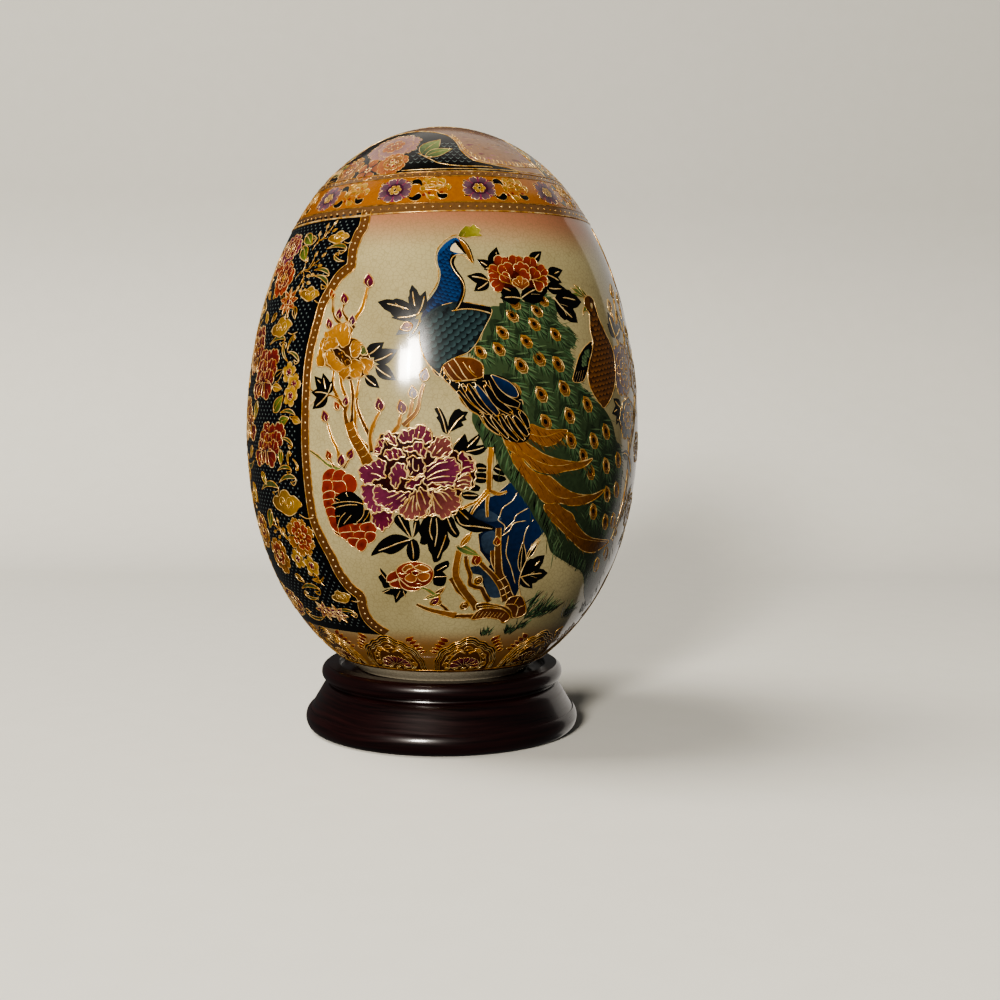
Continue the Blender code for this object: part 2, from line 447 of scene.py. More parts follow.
class Painting:
    """One zone's decoration, laid in order on a chart that turns flat millimetres into egg places."""

    def __init__(self, name, chart, tone=CREAMY):
        self.name, self.chart, self.tone = name, chart, tone
        self.fills, self.trails, self.beads = [], [], []

    def fill(self, outline, pigment, wash=None):
        """A shape of enamel. wash is two points that the tone runs between, or a middle and a reach."""
        outline = np.array(outline, float)
        (x0, y0), (x1, y1) = outline.T, np.roll(outline, -1, 0).T
        if (x0 * y1 - x1 * y0).sum() < 0:
            outline = outline[::-1]
        if wash is None:
            wash = (*outline.min(0), *outline.max(0))
        self.fills.append((outline, pigment, wash))

    def trail(self, points, width=0.5, closed=False):
        """A raised gold line, which later shapes cover."""
        points = np.array(points, float)
        if closed:
            points = np.concatenate([points, points[:1]])
        self.trails.append((points, width, len(self.fills), self.tone))

    def curve(self, points, width=0.5):
        """A raised gold line that runs smoothly through a few points."""
        self.trail(smooth(points), width)

    def bead(self, points, width=0.8):
        """Raised gold dots, which later shapes cover."""
        if len(points):
            self.beads.append((np.array(points, float), width, len(self.fills), self.tone))

    def shape(self, outline, pigment, wash=None, width=0.5):
        """A shape of enamel with a gold line round it."""
        self.fill(outline, pigment, wash)
        if width:
            self.trail(outline, width, closed=True)

    def visible(self, lines):
        """For each line of points, which of them no later shape covers."""
        spots = np.concatenate([line[0] for line in lines])
        order = np.concatenate([np.full(len(line[0]), line[2]) for line in lines])
        seen = np.ones(len(spots), bool)
        for turn, (outline, _, _) in enumerate(self.fills):
            later = seen & (order <= turn)
            seen[np.flatnonzero(later)[inside(spots[later], outline)]] = False
        return np.split(seen, np.cumsum([len(line[0]) for line in lines])[:-1])

    def skin(self):
        """The enamels as one closed skin, each triangle with the material of the last shape on it."""
        points, faces = [], []
        for outline, _, _ in self.fills:
            faces.append(list(range(len(points), len(points) + len(outline))))
            points += [tuple(p) for p in outline]
        low = np.min([outline.min(0) for outline, _, _ in self.fills], 0)
        high = np.max([outline.max(0) for outline, _, _ in self.fills], 0)
        rows = np.arange(low[1], high[1], MESH_PITCH * 0.866)
        for number, y in enumerate(rows):
            for x in np.arange(low[0] + number % 2 * MESH_PITCH / 2, high[0], MESH_PITCH):
                points.append((x, y))
        flat, _, triangles, _, _, owners = delaunay_2d_cdt(
            [Vector(p) for p in points], [], faces, 1, 1e-5, True
        )
        flat = np.array([tuple(p) for p in flat])
        kept = [(t, max(o)) for t, o in zip(triangles, owners) if o]
        corners = np.array([t for t, _ in kept])
        a, b, c = (flat[corners[:, k]] for k in range(3))
        area = (b[:, 0] - a[:, 0]) * (c[:, 1] - a[:, 1]) - (b[:, 1] - a[:, 1]) * (c[:, 0] - a[:, 0])
        good = np.abs(area) > 1e-7
        corners, owner = corners[good], np.array([o for _, o in kept])[good]
        used, corners = np.unique(corners, return_inverse=True)
        corners = corners.reshape(-1, 3)
        flat = flat[used]
        phi, v = self.chart(flat[:, 0], flat[:, 1])
        outer, normals = on_egg(phi, v, ENAMEL_LIFT)
        inner = on_egg(phi, v, ENAMEL_ROOT)[0]
        a, b, c = (outer[corners[:, k]] for k in range(3))
        facing = (np.cross(b - a, c - a) * normals[corners[:, 0]]).sum(1)
        corners[facing < 0] = corners[facing < 0][:, ::-1]
        edges = {}
        for k in range(3):
            for pair, pigment in zip(corners[:, [k, (k + 1) % 3]].tolist(), owner):
                edges[tuple(pair)] = pigment
        rim = [(pair, pigment) for pair, pigment in edges.items() if pair[::-1] not in edges]
        total = len(flat)
        polygons = corners.tolist() + (corners[:, ::-1] + total).tolist()
        polygons += [[b, a, a + total, b + total] for (a, b), _ in rim]
        owner = owner.tolist() * 2 + [pigment for _, pigment in rim]
        mesh = bpy.data.meshes.new(self.name)
        mesh.from_pydata(np.concatenate([outer, inner]).tolist(), [], polygons)
        pigments = sorted({self.fills[o][1] for o in owner})
        for pigment in pigments:
            mesh.materials.append(enamels[pigment])
        slots = [pigments.index(self.fills[o][1]) for o in owner]
        mesh.polygons.foreach_set("material_index", slots)
        tones = np.zeros(len(mesh.loops))
        where = np.concatenate([flat, flat])
        loops = np.array([loop.vertex_index for loop in mesh.loops])
        starts = np.concatenate([[0], np.cumsum([len(p) for p in polygons])])
        owner_of = np.repeat(owner, np.diff(starts))
        order = np.argsort(owner_of, kind="stable")
        bounds = np.searchsorted(owner_of[order], np.arange(len(self.fills) + 1))
        for number, (_, _, wash) in enumerate(self.fills):
            these = order[bounds[number]:bounds[number + 1]]
            spots = where[loops[these]]
            if len(wash) == 3:
                tones[these] = np.hypot(spots[:, 0] - wash[0], spots[:, 1] - wash[1]) / wash[2]
            else:
                run = np.array([wash[2] - wash[0], wash[3] - wash[1]])
                tones[these] = (spots - wash[:2]) @ run / (run @ run)
        mesh.attributes.new("wash", "FLOAT", "CORNER").data.foreach_set("value", tones.clip(0, 1))
        mesh.shade_smooth()
        mesh.validate()
        mesh.set_sharp_from_angle(angle=math.radians(40))
        piece = bpy.data.objects.new(self.name, mesh)
        bpy.context.scene.collection.objects.link(piece)
        return piece

    def gold(self, lines, suffix, tree):
        """Gold lines or dots as one piece, made by a tree from their points on the egg."""
        points, links, widths, tones = [], [], [], []
        for (line, width, _, tone), seen in zip(lines, self.visible(lines)):
            runs = np.split(np.arange(len(line)), np.flatnonzero(np.diff(seen.astype(int))) + 1)
            for run in runs:
                if not seen[run[0]] or (tree is trailing and len(run) < 2):
                    continue
                if tree is trailing:
                    closed = len(run) == len(line) and np.allclose(line[0], line[-1])
                    run = run[:-1] if closed and len(run) > 3 else run
                    links += [(len(points) + k, len(points) + k + 1) for k in range(len(run) - 1)]
                    if closed and len(run) > 2:
                        links.append((len(points) + len(run) - 1, len(points)))
                taper = np.ones(len(run))
                if tree is trailing and not closed:
                    taper[[0, -1]] = 0.55
                widths += (GILT_WIDTH * width / 2 * taper * MM).tolist()
                tones += [tone] * len(run)
                points += line[run].tolist()
        flat = np.array(points)
        spots, normals = on_egg(*self.chart(flat[:, 0], flat[:, 1]), GILT_LIFT)
        mesh = bpy.data.meshes.new(self.name + suffix)
        mesh.from_pydata(spots.tolist(), links, [])
        mesh.attributes.new("width", "FLOAT", "POINT").data.foreach_set("value", widths)
        mesh.attributes.new("tone", "FLOAT", "POINT").data.foreach_set("value", tones)
        mesh.attributes.new("outward", "FLOAT_VECTOR", "POINT").data.foreach_set("vector", normals.ravel())
        piece = grown(self.name + suffix, mesh, tree, Finish=gilt)
        piece.data.shade_smooth()
        for name in ("width", "outward"):
            if name in piece.data.attributes:
                piece.data.attributes.remove(piece.data.attributes[name])
        return piece

    def make(self):
        """The painting's pieces, riding with the egg."""
        pieces = []
        if self.fills:
            piece = self.skin()
            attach(piece, "root")
            pieces.append(piece)
        for lines, suffix, tree in ((self.trails, "_gilt_lines", trailing),
                (self.beads, "_gilt_dots", beading)):
            if lines:
                piece = self.gold(lines, suffix, tree)
                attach(piece, "root")
                pieces.append(piece)
        return pieces


def again_behind(pieces, old, new, tints=()):
    """The same decoration on the egg's far side, with some of its enamels changed for others."""
    for piece in pieces:
        mesh = piece.data.copy()
        mesh.name = piece.name.replace(old, new)
        mesh.transform(Matrix.Rotation(math.pi, 4, "Z"))
        for slot, material in enumerate(mesh.materials):
            for pigment, other in tints:
                if material == enamels[pigment]:
                    mesh.materials[slot] = enamels[other]
        copy = bpy.data.objects.new(mesh.name, mesh)
        bpy.context.scene.collection.objects.link(copy)
        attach(copy, "root")


def panel_chart(middle):
    """The chart of an upright panel: x round the egg from the panel's middle, y up the outline."""
    return lambda x, y: (math.radians(middle) + x / radius_at(y), y)


# ---------------------------------------------------------------------------------------------
# The borders: a brown band down each side of the two picture panels, edged with gold lines and
# beaded with gold dots. It steps in at the shoulder and again at the foot.
# ---------------------------------------------------------------------------------------------

FRONT = 25.0  # the front picture's middle, in degrees round from the egg's front
BORDER_EDGE = [  # the dotted middle of the left border, from the top band down to the foot band
    (-41.0, 62.5), (-42.8, 57.2), (-44.3, 55.4), (-45.5, 53.3), (-46.6, 51.2), (-47.2, 49.2), (-47.6, 47.2),
    (-48.2, 45.4), (-50.0, 44.3), (-52.0, 42.8), (-53.8, 40.9), (-55.5, 38.8), (-57.1, 36.8), (-58.4, 34.8),
    (-60.0, 30.9), (-61.7, 26.6), (-63.2, 22.2), (-64.4, 16.2), (-65.1, 7.5), (-65.3, 0.0), (-65.0, -6.0),
    (-64.0, -14.0), (-62.2, -22.0), (-59.5, -27.0), (-55.5, -32.5), (-52.0, -37.8), (-48.0, -42.0),
    (-44.5, -44.5), (-43.3, -48.0), (-41.5, -51.5), (-38.5, -54.5), (-34.5, -57.0),
]
BORDER_WIDTH = 2.7
DOT_PITCH = 2.1


def every(curve, pitch):
    """Points a pitch apart along a curve."""
    along = np.concatenate([[0], np.cumsum(np.hypot(*np.diff(curve, axis=0).T))])
    marks = np.arange(pitch / 2, along[-1], pitch)
    return np.stack([np.interp(marks, along, curve[:, k]) for k in (0, 1)], 1)


def leftward(curve):
    """At each of a curve's points, a step of length 1 to the left of its run."""
    run = np.gradient(curve, axis=0)
    run /= np.hypot(*run.T)[:, None]
    return np.stack([-run[:, 1], run[:, 0]], 1)


border = Painting("front_border", panel_chart(FRONT), GOLDEN)
for side in (1, -1):
    curve = smooth(BORDER_EDGE) * (side, 1)
    inner = curve + leftward(curve) * BORDER_WIDTH / 2
    outer = curve - leftward(curve) * BORDER_WIDTH / 2
    border.fill(np.concatenate([inner, outer[::-1]]), "walnut", (0, 0, 0.1))
    border.tone = GOLDEN
    border.trail(inner, 0.5)
    border.trail(outer, 0.42)
    border.tone = CREAMY
    border.bead(every(curve, DOT_PITCH), 0.5)
again_behind(border.make(), "front_border", "back_border")


# ---------------------------------------------------------------------------------------------
# The front picture, first its ground and tree: an old peony trunk rising from a root, a blue
# rock, grass, stems, buds and sharp black leaves. Edges are trailed in gold over the enamel.
# ---------------------------------------------------------------------------------------------

def turned_to(points, start, end, width=1.0):
    """Points drawn along +X from 0 to 1, laid from start to end; width scales them sideways."""
    run = np.subtract(end, start)
    side = np.array([-run[1], run[0]]) * width
    points = np.array(points, float)
    return np.array(start) + points[:, :1] * run + points[:, 1:] * side


def heading(turn):
    """A step of length 1, turned so many degrees from +X."""
    return np.array([math.cos(math.radians(turn)), math.sin(math.radians(turn))])


def arc_points(radius, count, start=0.0, sweep=360.0):
    """Points round a circle, or along part of it, as offsets from its middle."""
    steps = count if sweep == 360.0 else count - 1
    return np.array([heading(start + sweep * k / steps) for k in range(count)]) * radius


def spun(points, turn):
    """Offsets turned round their middle."""
    way = heading(turn)
    return np.array(points) @ np.array([way, (-way[1], way[0])])


def both_sides(half):
    """A closed outline from its upper half, which runs from (0, 0) to (1, 0)."""
    return half + [(x, -y) for x, y in half[-2:0:-1]]


BLADE = both_sides([(t, 0.5 * math.sin(math.pi * t**0.85) * (1 - 0.35 * t)) for t in np.linspace(0, 1, 9)])
BARB = [(0, -0.5), (0.3, 0.5), (1, 0)]
LOBED = both_sides(
    [(0, 0), (0.08, 0.18), (0.24, 0.38), (0.42, 0.46), (0.58, 0.44), (0.64, 0.33), (0.8, 0.26), (1, 0)]
)


def leaf(art, start, end, width=0.5, pigment="leaf green", gold=0.42, rib=True):
    """A pointed leaf or feather with a gold edge and a gold midrib."""
    art.shape(turned_to(BLADE, start, end, width), pigment, (*start, *end), gold)
    if rib:
        art.trail(turned_to([(0.0, 0.0), (0.3, 0.03), (0.55, 0.02), (0.82, 0.0)], start, end), gold * 0.8)


def sprig(art, start, tips, width=0.66, rib=0.62, pigment="black"):
    """Black leaves that fan out from one place, with bold gold ribs."""
    art.tone = CREAMY
    for number, tip in enumerate(tips):
        length = math.dist(start, tip)
        art.fill(turned_to(LOBED if length > 8 else BLADE, start, tip, width), pigment)
        bend = 0.05 if number % 2 else -0.05
        if rib:
            art.curve(turned_to([(-0.04, 0), (0.35, bend), (0.76, bend / 2)], start, tip), rib)
        if rib and length > 8:
            for near, far, side in ((0.24, 0.46, 0.2), (0.34, 0.58, -0.18)):
                art.trail(turned_to([(near, 0.05 * side), (far, side * width)], start, tip), rib * 0.6)


def stem(art, points, width=1.2, pigment="umber", gold=0.5, thin=0.6):
    """A twig or trunk that thins towards its end, edged with gold."""
    art.tone = ROSY
    curve = smooth(points)
    side = leftward(curve) * np.linspace(1.0, thin, len(curve))[:, None] * width / 2
    art.fill(np.concatenate([curve + side, (curve - side)[::-1]]), pigment)
    art.trail(curve + side, gold)
    art.trail(curve - side, gold)


def petals(art, table, gold=0.5, tone=ROSY, ruffle=0.0, pleat=0.0):
    """Petals drawn one by one: an outline, its pigment, the tone's run, and the lines on it.

    A ruffle waves the outline, and pleats are short gold strokes that run in from the rim.
    """
    art.tone = tone
    for outline, pigment, wash, veins in table:
        edge = smooth(outline, True)
        if ruffle:
            edge = every(np.concatenate([edge, edge[:1]]), 0.36)
            run = np.roll(edge, -1, 0) - np.roll(edge, 1, 0)
            out = np.stack([run[:, 1], -run[:, 0]], 1) / np.hypot(*run.T)[:, None]
            edge = edge + out * ruffle * np.sin(np.arange(len(edge)) * 1.1)[:, None]
        art.shape(edge, pigment, wash, gold)
        for vein in veins:
            art.curve(vein, gold * 0.9)
        if pleat and wash and len(wash) == 4:
            root = np.array(wash[:2])
            rim = every(np.concatenate([edge, edge[:1]]), pleat)
            far = np.hypot(*(rim - root).T)
            for spot in rim[far > 0.72 * far.max()]:
                way = (root - spot) / math.dist(root, spot)
                art.trail([spot + way * 0.3, spot + way * 1.3], gold * 0.7)


def bud(art, at, size=3.2, turn=90.0, pigment="manganese maroon", gold=0.6):
    """A closed bud like a small flame, thickly edged with gold."""
    run = heading(turn) * size
    foot = np.array(at) - run / 2
    art.tone = ROSY
    art.shape(turned_to(BLADE, foot - run * 0.06, foot + run * 1.06, 0.8), pigment, None, gold)
    art.curve(turned_to([(0.05, 0), (0.36, 0.12), (0.6, -0.04)], foot, foot + run), gold * 0.6)


def petal(art, start, end, reach=40.0, lobes=3, pigment="iron red", gold=0.5, veins=2, tone=ROSY):
    """A fan-shaped petal with a scalloped edge, deep at its root and pale at its rim."""
    art.tone = tone
    outline = [(0.0, 0.0)]
    for k in range(lobes * 5 + 1):
        side = -1 + 2 * k / (lobes * 5)
        notch = abs(math.sin(math.pi * lobes * (side + 1) / 2)) ** 0.5
        far = (1 - 0.2 * side * side) * (0.88 + 0.12 * notch)
        outline.append(heading(reach * side) * far)
    art.shape(turned_to(outline, start, end), pigment, (*start, *end), gold)
    for k in range(veins):
        turn = reach * 0.86 * (2 * (k + 0.5) / veins - 1)
        near, far = (0.36, 0.9) if k % 2 else (0.5, 0.8)
        line = [heading(turn * 0.8) * near, heading(turn) * far]
        art.trail(turned_to(line, start, end), gold * (0.9 if k % 2 else 0.7))


def bloom(art, at, size, rings, pigments, flat=0.85, heart=None, turn=0.0, gold=0.45):
    """A many-petalled flower, ring within ring; rings are (petals, reach, half angle, lobes, veins)."""
    at = np.array(at, float)
    for number, (petals, reach, half, lobes, veins) in enumerate(rings):
        order = sorted(range(petals), key=lambda k: -math.sin(math.radians(turn + 360 * k / petals)))
        for k in order:
            vary = 1 + 0.10 * math.sin(5.1 * k + 2.3 * number)
            way = heading(turn + 360 * (k + 0.5 * (number % 2)) / petals) * (1, flat) * size * reach * vary
            petal(art, at + way * 0.12, at + way, half, lobes, pigments[number % len(pigments)], gold, veins)
    if heart:
        art.shape(at + arc_points(size * 0.15, 8), heart, None, gold * 0.8)
        art.bead(at + arc_points(size * 0.22, 6), 0.5)


art = Painting("front_picture", panel_chart(FRONT))

# The ground: a rock, grass and the root's foot, with the trunks that rise from it.
ROCK = [
    (-11.5, -15), (-8, -12), (-5.5, -11), (-3, -13), (-1, -16), (0.5, -20), (4.4, -24.6), (2.4, -27),
    (0.4, -29), (-0.6, -33), (-1.4, -36), (-0.6, -40), (-1.4, -44), (-9.6, -44), (-12.4, -38), (-10.6, -34),
    (-14, -30), (-15, -25.4), (-11, -23.6), (-15, -22), (-18.6, -20.4), (-17.5, -18), (-15, -16.5),
]
art.shape(ROCK, "cobalt", (-16, -30, 0, -20), 0.4)
for patch in (
    [(-16.6, -20.4), (-15, -18.6), (-12.6, -19), (-9, -21.4), (-13, -22)],
    [(-11.4, -38), (-9.8, -35.6), (-8.6, -39), (-9.6, -43)],
    [(-14, -26), (-11, -24.6), (-9.4, -28), (-10.8, -31), (-13, -30)],
):
    art.fill(smooth(patch, True), "slate blue")
for line in (
    [(-9.6, -20.6), (-9, -18.4), (-6.4, -16.4), (-5, -13.8)],
    [(-9.6, -20.6), (-10, -21.6), (-8, -23.2), (-8, -25)],
    [(-8, -24.5), (-5.6, -22), (-5, -20.4), (-1.2, -18.3)],
    [(-8.4, -26), (-6.6, -24.6), (-5.4, -22.6), (-2.2, -22)],
    [(0.6, -21.3), (-1.6, -24.4), (-2, -28), (-1, -33)], [(-6.6, -26), (-6.6, -31), (-4.6, -35), (-2.4, -40)],
):
    art.curve(line, 0.5)
art.fill(smooth([(-15.8, -34.8), (-15.3, -36.4), (-12.1, -37.5), (-10.9, -40.5), (-8.4, -44.1), (-5, -43.6),
    (-7, -40), (-10, -37), (-13, -34.6)], True), "slate blue", (-16, -34, 0, -50))
rng = random.Random(4)
for foot, reach, count, low, high in (
    ((5.6, -51.6), 8.8, 44, 12, 76), ((10.4, -50.6), 6.4, 26, 8, 64), ((3.4, -47.6), 5.6, 10, 30, 80),
    ((-7.2, -57), 3.4, 20, 26, 154), ((-0.4, -57), 3.4, 30, 36, 120), ((2.8, -55.2), 3.6, 24, 20, 100),
    ((20, -53), 6, 30, 20, 100), ((30, -53), 5, 24, 20, 120),
):
    for k in range(count):
        way = heading(rng.uniform(low, high))
        root = np.array(foot) + (rng.uniform(-0.34, 0.34) * reach, rng.uniform(-0.8, 0.8))
        tip = root + way * reach * rng.uniform(0.4, 1.0)
        art.fill(turned_to(BARB, root, tip, 0.5 / reach), ("copper green", "train green", "black")[k % 3])
leaf(art, (-1.2, -37), (-2.2, -27.6), 0.3, "black", 0.4)
leaf(art, (-0.4, -33), (2.8, -27.4), 0.32, "black", 0.4)
sprig(art, (-0.9, -38.2), [(5.2, -32), (7.4, -37.5), (3.4, -42)], 0.66)
art.curve([(0.2, -44.2), (-1.2, -40.3), (-1.2, -36.9), (-0.2, -33), (1.2, -29.3), (3.3, -27.5)], 0.5)
for line, thick, pigment, thin in (
    ([(-11.9, -50.2), (-15.6, -50.1), (-18, -49.8), (-20.3, -47.4), (-22.2, -45.9)], 1.5, "umber", 0.5),
    ([(-17, -49.9), (-20.9, -48.9), (-23.7, -48.2), (-25.6, -47.5), (-28.2, -46.3)], 1.9, "amber", 0.4),
    ([(-12.2, -47.5), (-13.5, -45.7), (-15.8, -43.5), (-17.9, -41.7), (-19.4, -39.7), (-20.6, -38)], 1.7,
        "umber", 0.6),
    ([(-11.6, -48), (-12.7, -46.1), (-14.9, -43.5), (-17.2, -40.7), (-19.2, -37.4), (-19.7, -34.1),
        (-19.4, -30)], 1.9, "amber", 0.9),
    ([(-8.7, -45.5), (-10.4, -43.3), (-11.7, -41.2), (-13.3, -40.8), (-15.1, -39.7), (-15.5, -37.1),
        (-16.8, -34.4), (-17.5, -31.6)], 1.3, "umber", 0.8),
    ([(-7.6, -36.9), (-9.8, -33.3), (-10.5, -30)], 1.3, "umber", 0.8),
    ([(-2.4, -45.6), (-4, -43.2), (-5.4, -40.4), (-7.6, -36.9), (-8.7, -32.1), (-9.2, -28.9),
        (-9.6, -23.8)], 2.7, "umber", 0.5),
    ([(-4.2, -45.6), (-5.7, -42.1), (-7, -40), (-9.4, -37.2), (-11.9, -34.9), (-13.4, -33.6)], 1.6, "umber",
        0.7),
):
    stem(art, line, thick, pigment, 0.5, thin)
for level in (-38.6, -41.4, -43.4):
    x = -6.6 - 0.42 * (level + 38.6)
    art.curve([(x - 1.1, level - 0.5), (x, level), (x + 1.2, level + 0.9)], 0.4)
for outline, pigment in (
    ([(-12.2, -46.4), (-9.9, -45.8), (-6.2, -46.7), (-3.7, -47.4), (-1.4, -49.2), (-0.1, -51.4),
        (-1.1, -51.6), (-3.2, -49.3), (-5.9, -48), (-9.4, -47.7), (-11.3, -48.3)], "umber"),
    ([(-12.2, -51.4), (-12, -49.8), (-11.1, -48.3), (-9.5, -47.6), (-6.3, -47.8), (-3.5, -48.7),
        (-1.2, -51.2), (-2.8, -53.1), (-4.3, -51.9), (-6.1, -51.3), (-8, -51), (-9.8, -51.2)], "sienna"),
    ([(-3.8, -46.8), (-3.4, -45), (-2.1, -44.2), (0.2, -44.2), (1.9, -46.1), (3.4, -50), (1.6, -51.4),
        (-0.3, -51.4), (-1.4, -49.2), (-2.9, -47.6)], "sienna"),
):
    art.shape(smooth(outline, True), pigment, (outline[0][0], -42, outline[0][0], -56), 0.52)
for k in range(8):
    x = -11.4 + 1.05 * k
    art.trail([(x, -50.8 - 0.24 * max(k - 5, 0)), (x + 0.8, -48.6 - 0.14 * k)], 0.42)
for line in ([(-3.6, -46.7), (-1.2, -46.8), (0.4, -48), (0.6, -51.2)], [(-1.2, -46.8), (-0.4, -44.6)],
        [(0.4, -48), (2.2, -47.4)], [(-11.6, -47), (-8, -46.9), (-4.6, -47.9), (-2, -49.8)]):
    art.curve(line, 0.42)
for twist, size in (((-15.3, -46.7), 1.3), ((-13, -38.8), 1.3), ((-22.4, -45.6), 0.9)):
    art.shape(twist + arc_points(size, 10) * (0.9, 1), "umber", None, 0.42)
    art.trail(twist + arc_points(size * 0.5, 7, 20, 290), 0.36)
bud(art, (-14.6, -32.4), 3.6, 100, "iron red")
bud(art, (-9.6, -27.4), 2.6, 100, "iron red")
leaf(art, (-20.6, -28.6), (-13.6, -31.6), 0.34, "leaf green", 0.36)
leaf(art, (-19.4, -29), (-16.6, -24.6), 0.4, "yellow", 0.42)
bud(art, (-23.4, -45), 3.0, 50)
leaf(art, (-24.4, -44.2), (-21.4, -40.4), 0.4, "umber", 0.42)
leaf(art, (-26.6, -44.6), (-22.4, -42.4), 0.3, "leaf green", 0.36)
stem(art, [(-23.4, -43.4), (-26, -41.6), (-29.4, -40.4)], 0.9, "leaf green", 0.3)

# The trunk and twigs at the left.
for twig, thick, pigment in (
    ([(-50.2, 2.6), (-49.7, 6.6), (-49.6, 11), (-50.4, 16)], 1.3, "umber"),
    ([(-45.4, -3), (-48.6, 0.4), (-49, 5), (-48.8, 9.4), (-47.6, 15)], 1.1, "yellow"),
    ([(-44.4, -4), (-45, 0), (-46.8, 3.6), (-48.4, 7.6), (-48.4, 10)], 1.2, "umber"),
    ([(-51.2, 2.4), (-52, 6), (-51.4, 9.4), (-52.8, 13), (-53.4, 17)], 1.3, "amber"),
    ([(-52, 7.4), (-54.4, 10.2), (-55.6, 13.6), (-55.2, 17.4)], 1.1, "amber"),
    ([(-53.8, 9.6), (-57, 10.8), (-60.4, 10.6), (-64, 12.8)], 0.5, "umber"),
    ([(-57, 10.6), (-60.6, 9.6), (-63.8, 8)], 0.4, "umber"),
    ([(-44.4, -3.6), (-44.8, 0.2), (-43.4, 4.2), (-42, 6.6)], 1.2, "yellow"),
    ([(-39.6, 0), (-37.4, 2.6), (-36.4, 5.8)], 1.1, "yellow"),
    ([(-35, 2.6), (-34, 6.4), (-33.4, 9.6)], 1.1, "yellow"),
    ([(-36, 3), (-32.4, 6.6), (-31.4, 10.4), (-30.2, 14)], 1.1, "yellow"),
    ([(-53.4, -8), (-54.4, -3.6), (-56.2, -0.4), (-57.6, 3.4)], 1.0, "yellow"),
    ([(-53.6, -8.8), (-57.4, -7.6), (-60.4, -5.6), (-63.6, -4)], 1.0, "leaf green"),
    ([(-55.4, -8), (-56.6, -6.4)], 0.7, "umber"), ([(-52.4, -8.4), (-50.8, -6)], 0.7, "umber"),
    ([(-50.2, 26), (-48.6, 30), (-46, 33.4), (-44.6, 36.6), (-43.6, 39.6)], 1.3, "yellow"),
    ([(-48.4, 28.4), (-51.4, 32.4), (-51.2, 35)], 1.0, "umber"),
    ([(-50.4, 28), (-54.4, 31.6), (-54.6, 36.6)], 1.0, "umber"),
    ([(-52.6, 26), (-56, 28.6)], 0.8, "umber"),
):
    stem(art, twig, thick, pigment)
stem(art, [(-45.2, -7), (-47.2, -3.6), (-49.6, 0), (-50.9, 3.6)], 3.2, "amber", 0.56, 0.8)
for k in range(5):
    x, y = -46.2 - 0.95 * k, -4.8 + 1.7 * k
    art.curve([(x - 1.1, y - 0.5), (x, y - 0.2), (x + 0.9, y + 0.9)], 0.32)
for place, size, turn, pigment in (
    ((-42.2, 8.4), 3.4, 100, "manganese maroon"), ((-36.2, 7.8), 3.4, 105, "manganese maroon"),
    ((-33.2, 11.6), 3.2, 95, "plum"), ((-30, 16.2), 3.4, 75, "manganese maroon"),
    ((-58.4, 5.2), 3.2, 105, "manganese maroon"), ((-57.2, -5), 2.8, 110, "iron red"),
    ((-53.2, -6.2), 3.2, 85, "manganese maroon"), ((-50.4, -4.6), 2.8, 70, "manganese maroon"),
    ((-43.1, 41.4), 3.8, 85, "manganese maroon"), ((-50.9, 36.6), 3.2, 95, "manganese maroon"),
    ((-54.8, 38), 2.6, 100, "iron red"), ((-52.8, 32.4), 3.0, 80, "manganese maroon"),
    ((-56.2, 29.8), 3.0, 100, "manganese maroon"), ((-48.9, 30.6), 2.8, 80, "plum"),
    ((-54.6, 8), 2.6, 120, "iron red"), ((-51.8, 9.2), 2.6, 80, "manganese maroon"),
):
    bud(art, place, size, turn, pigment)
for start, tips in (
    ((-45.4, 21), [(-40.2, 24.6)]), ((-43.4, 19.6), [(-36.6, 22.6)]), ((-43, 18.4), [(-37.4, 14.6)]),
    ((-46, 15.8), [(-42, 12.6)]), ((-57.4, 11),
        [(-61.8, 15.8), (-58.8, 16.6), (-55.8, 14.6), (-62.6, 7), (-63, 11.4)]),
):
    sprig(art, start, tips)
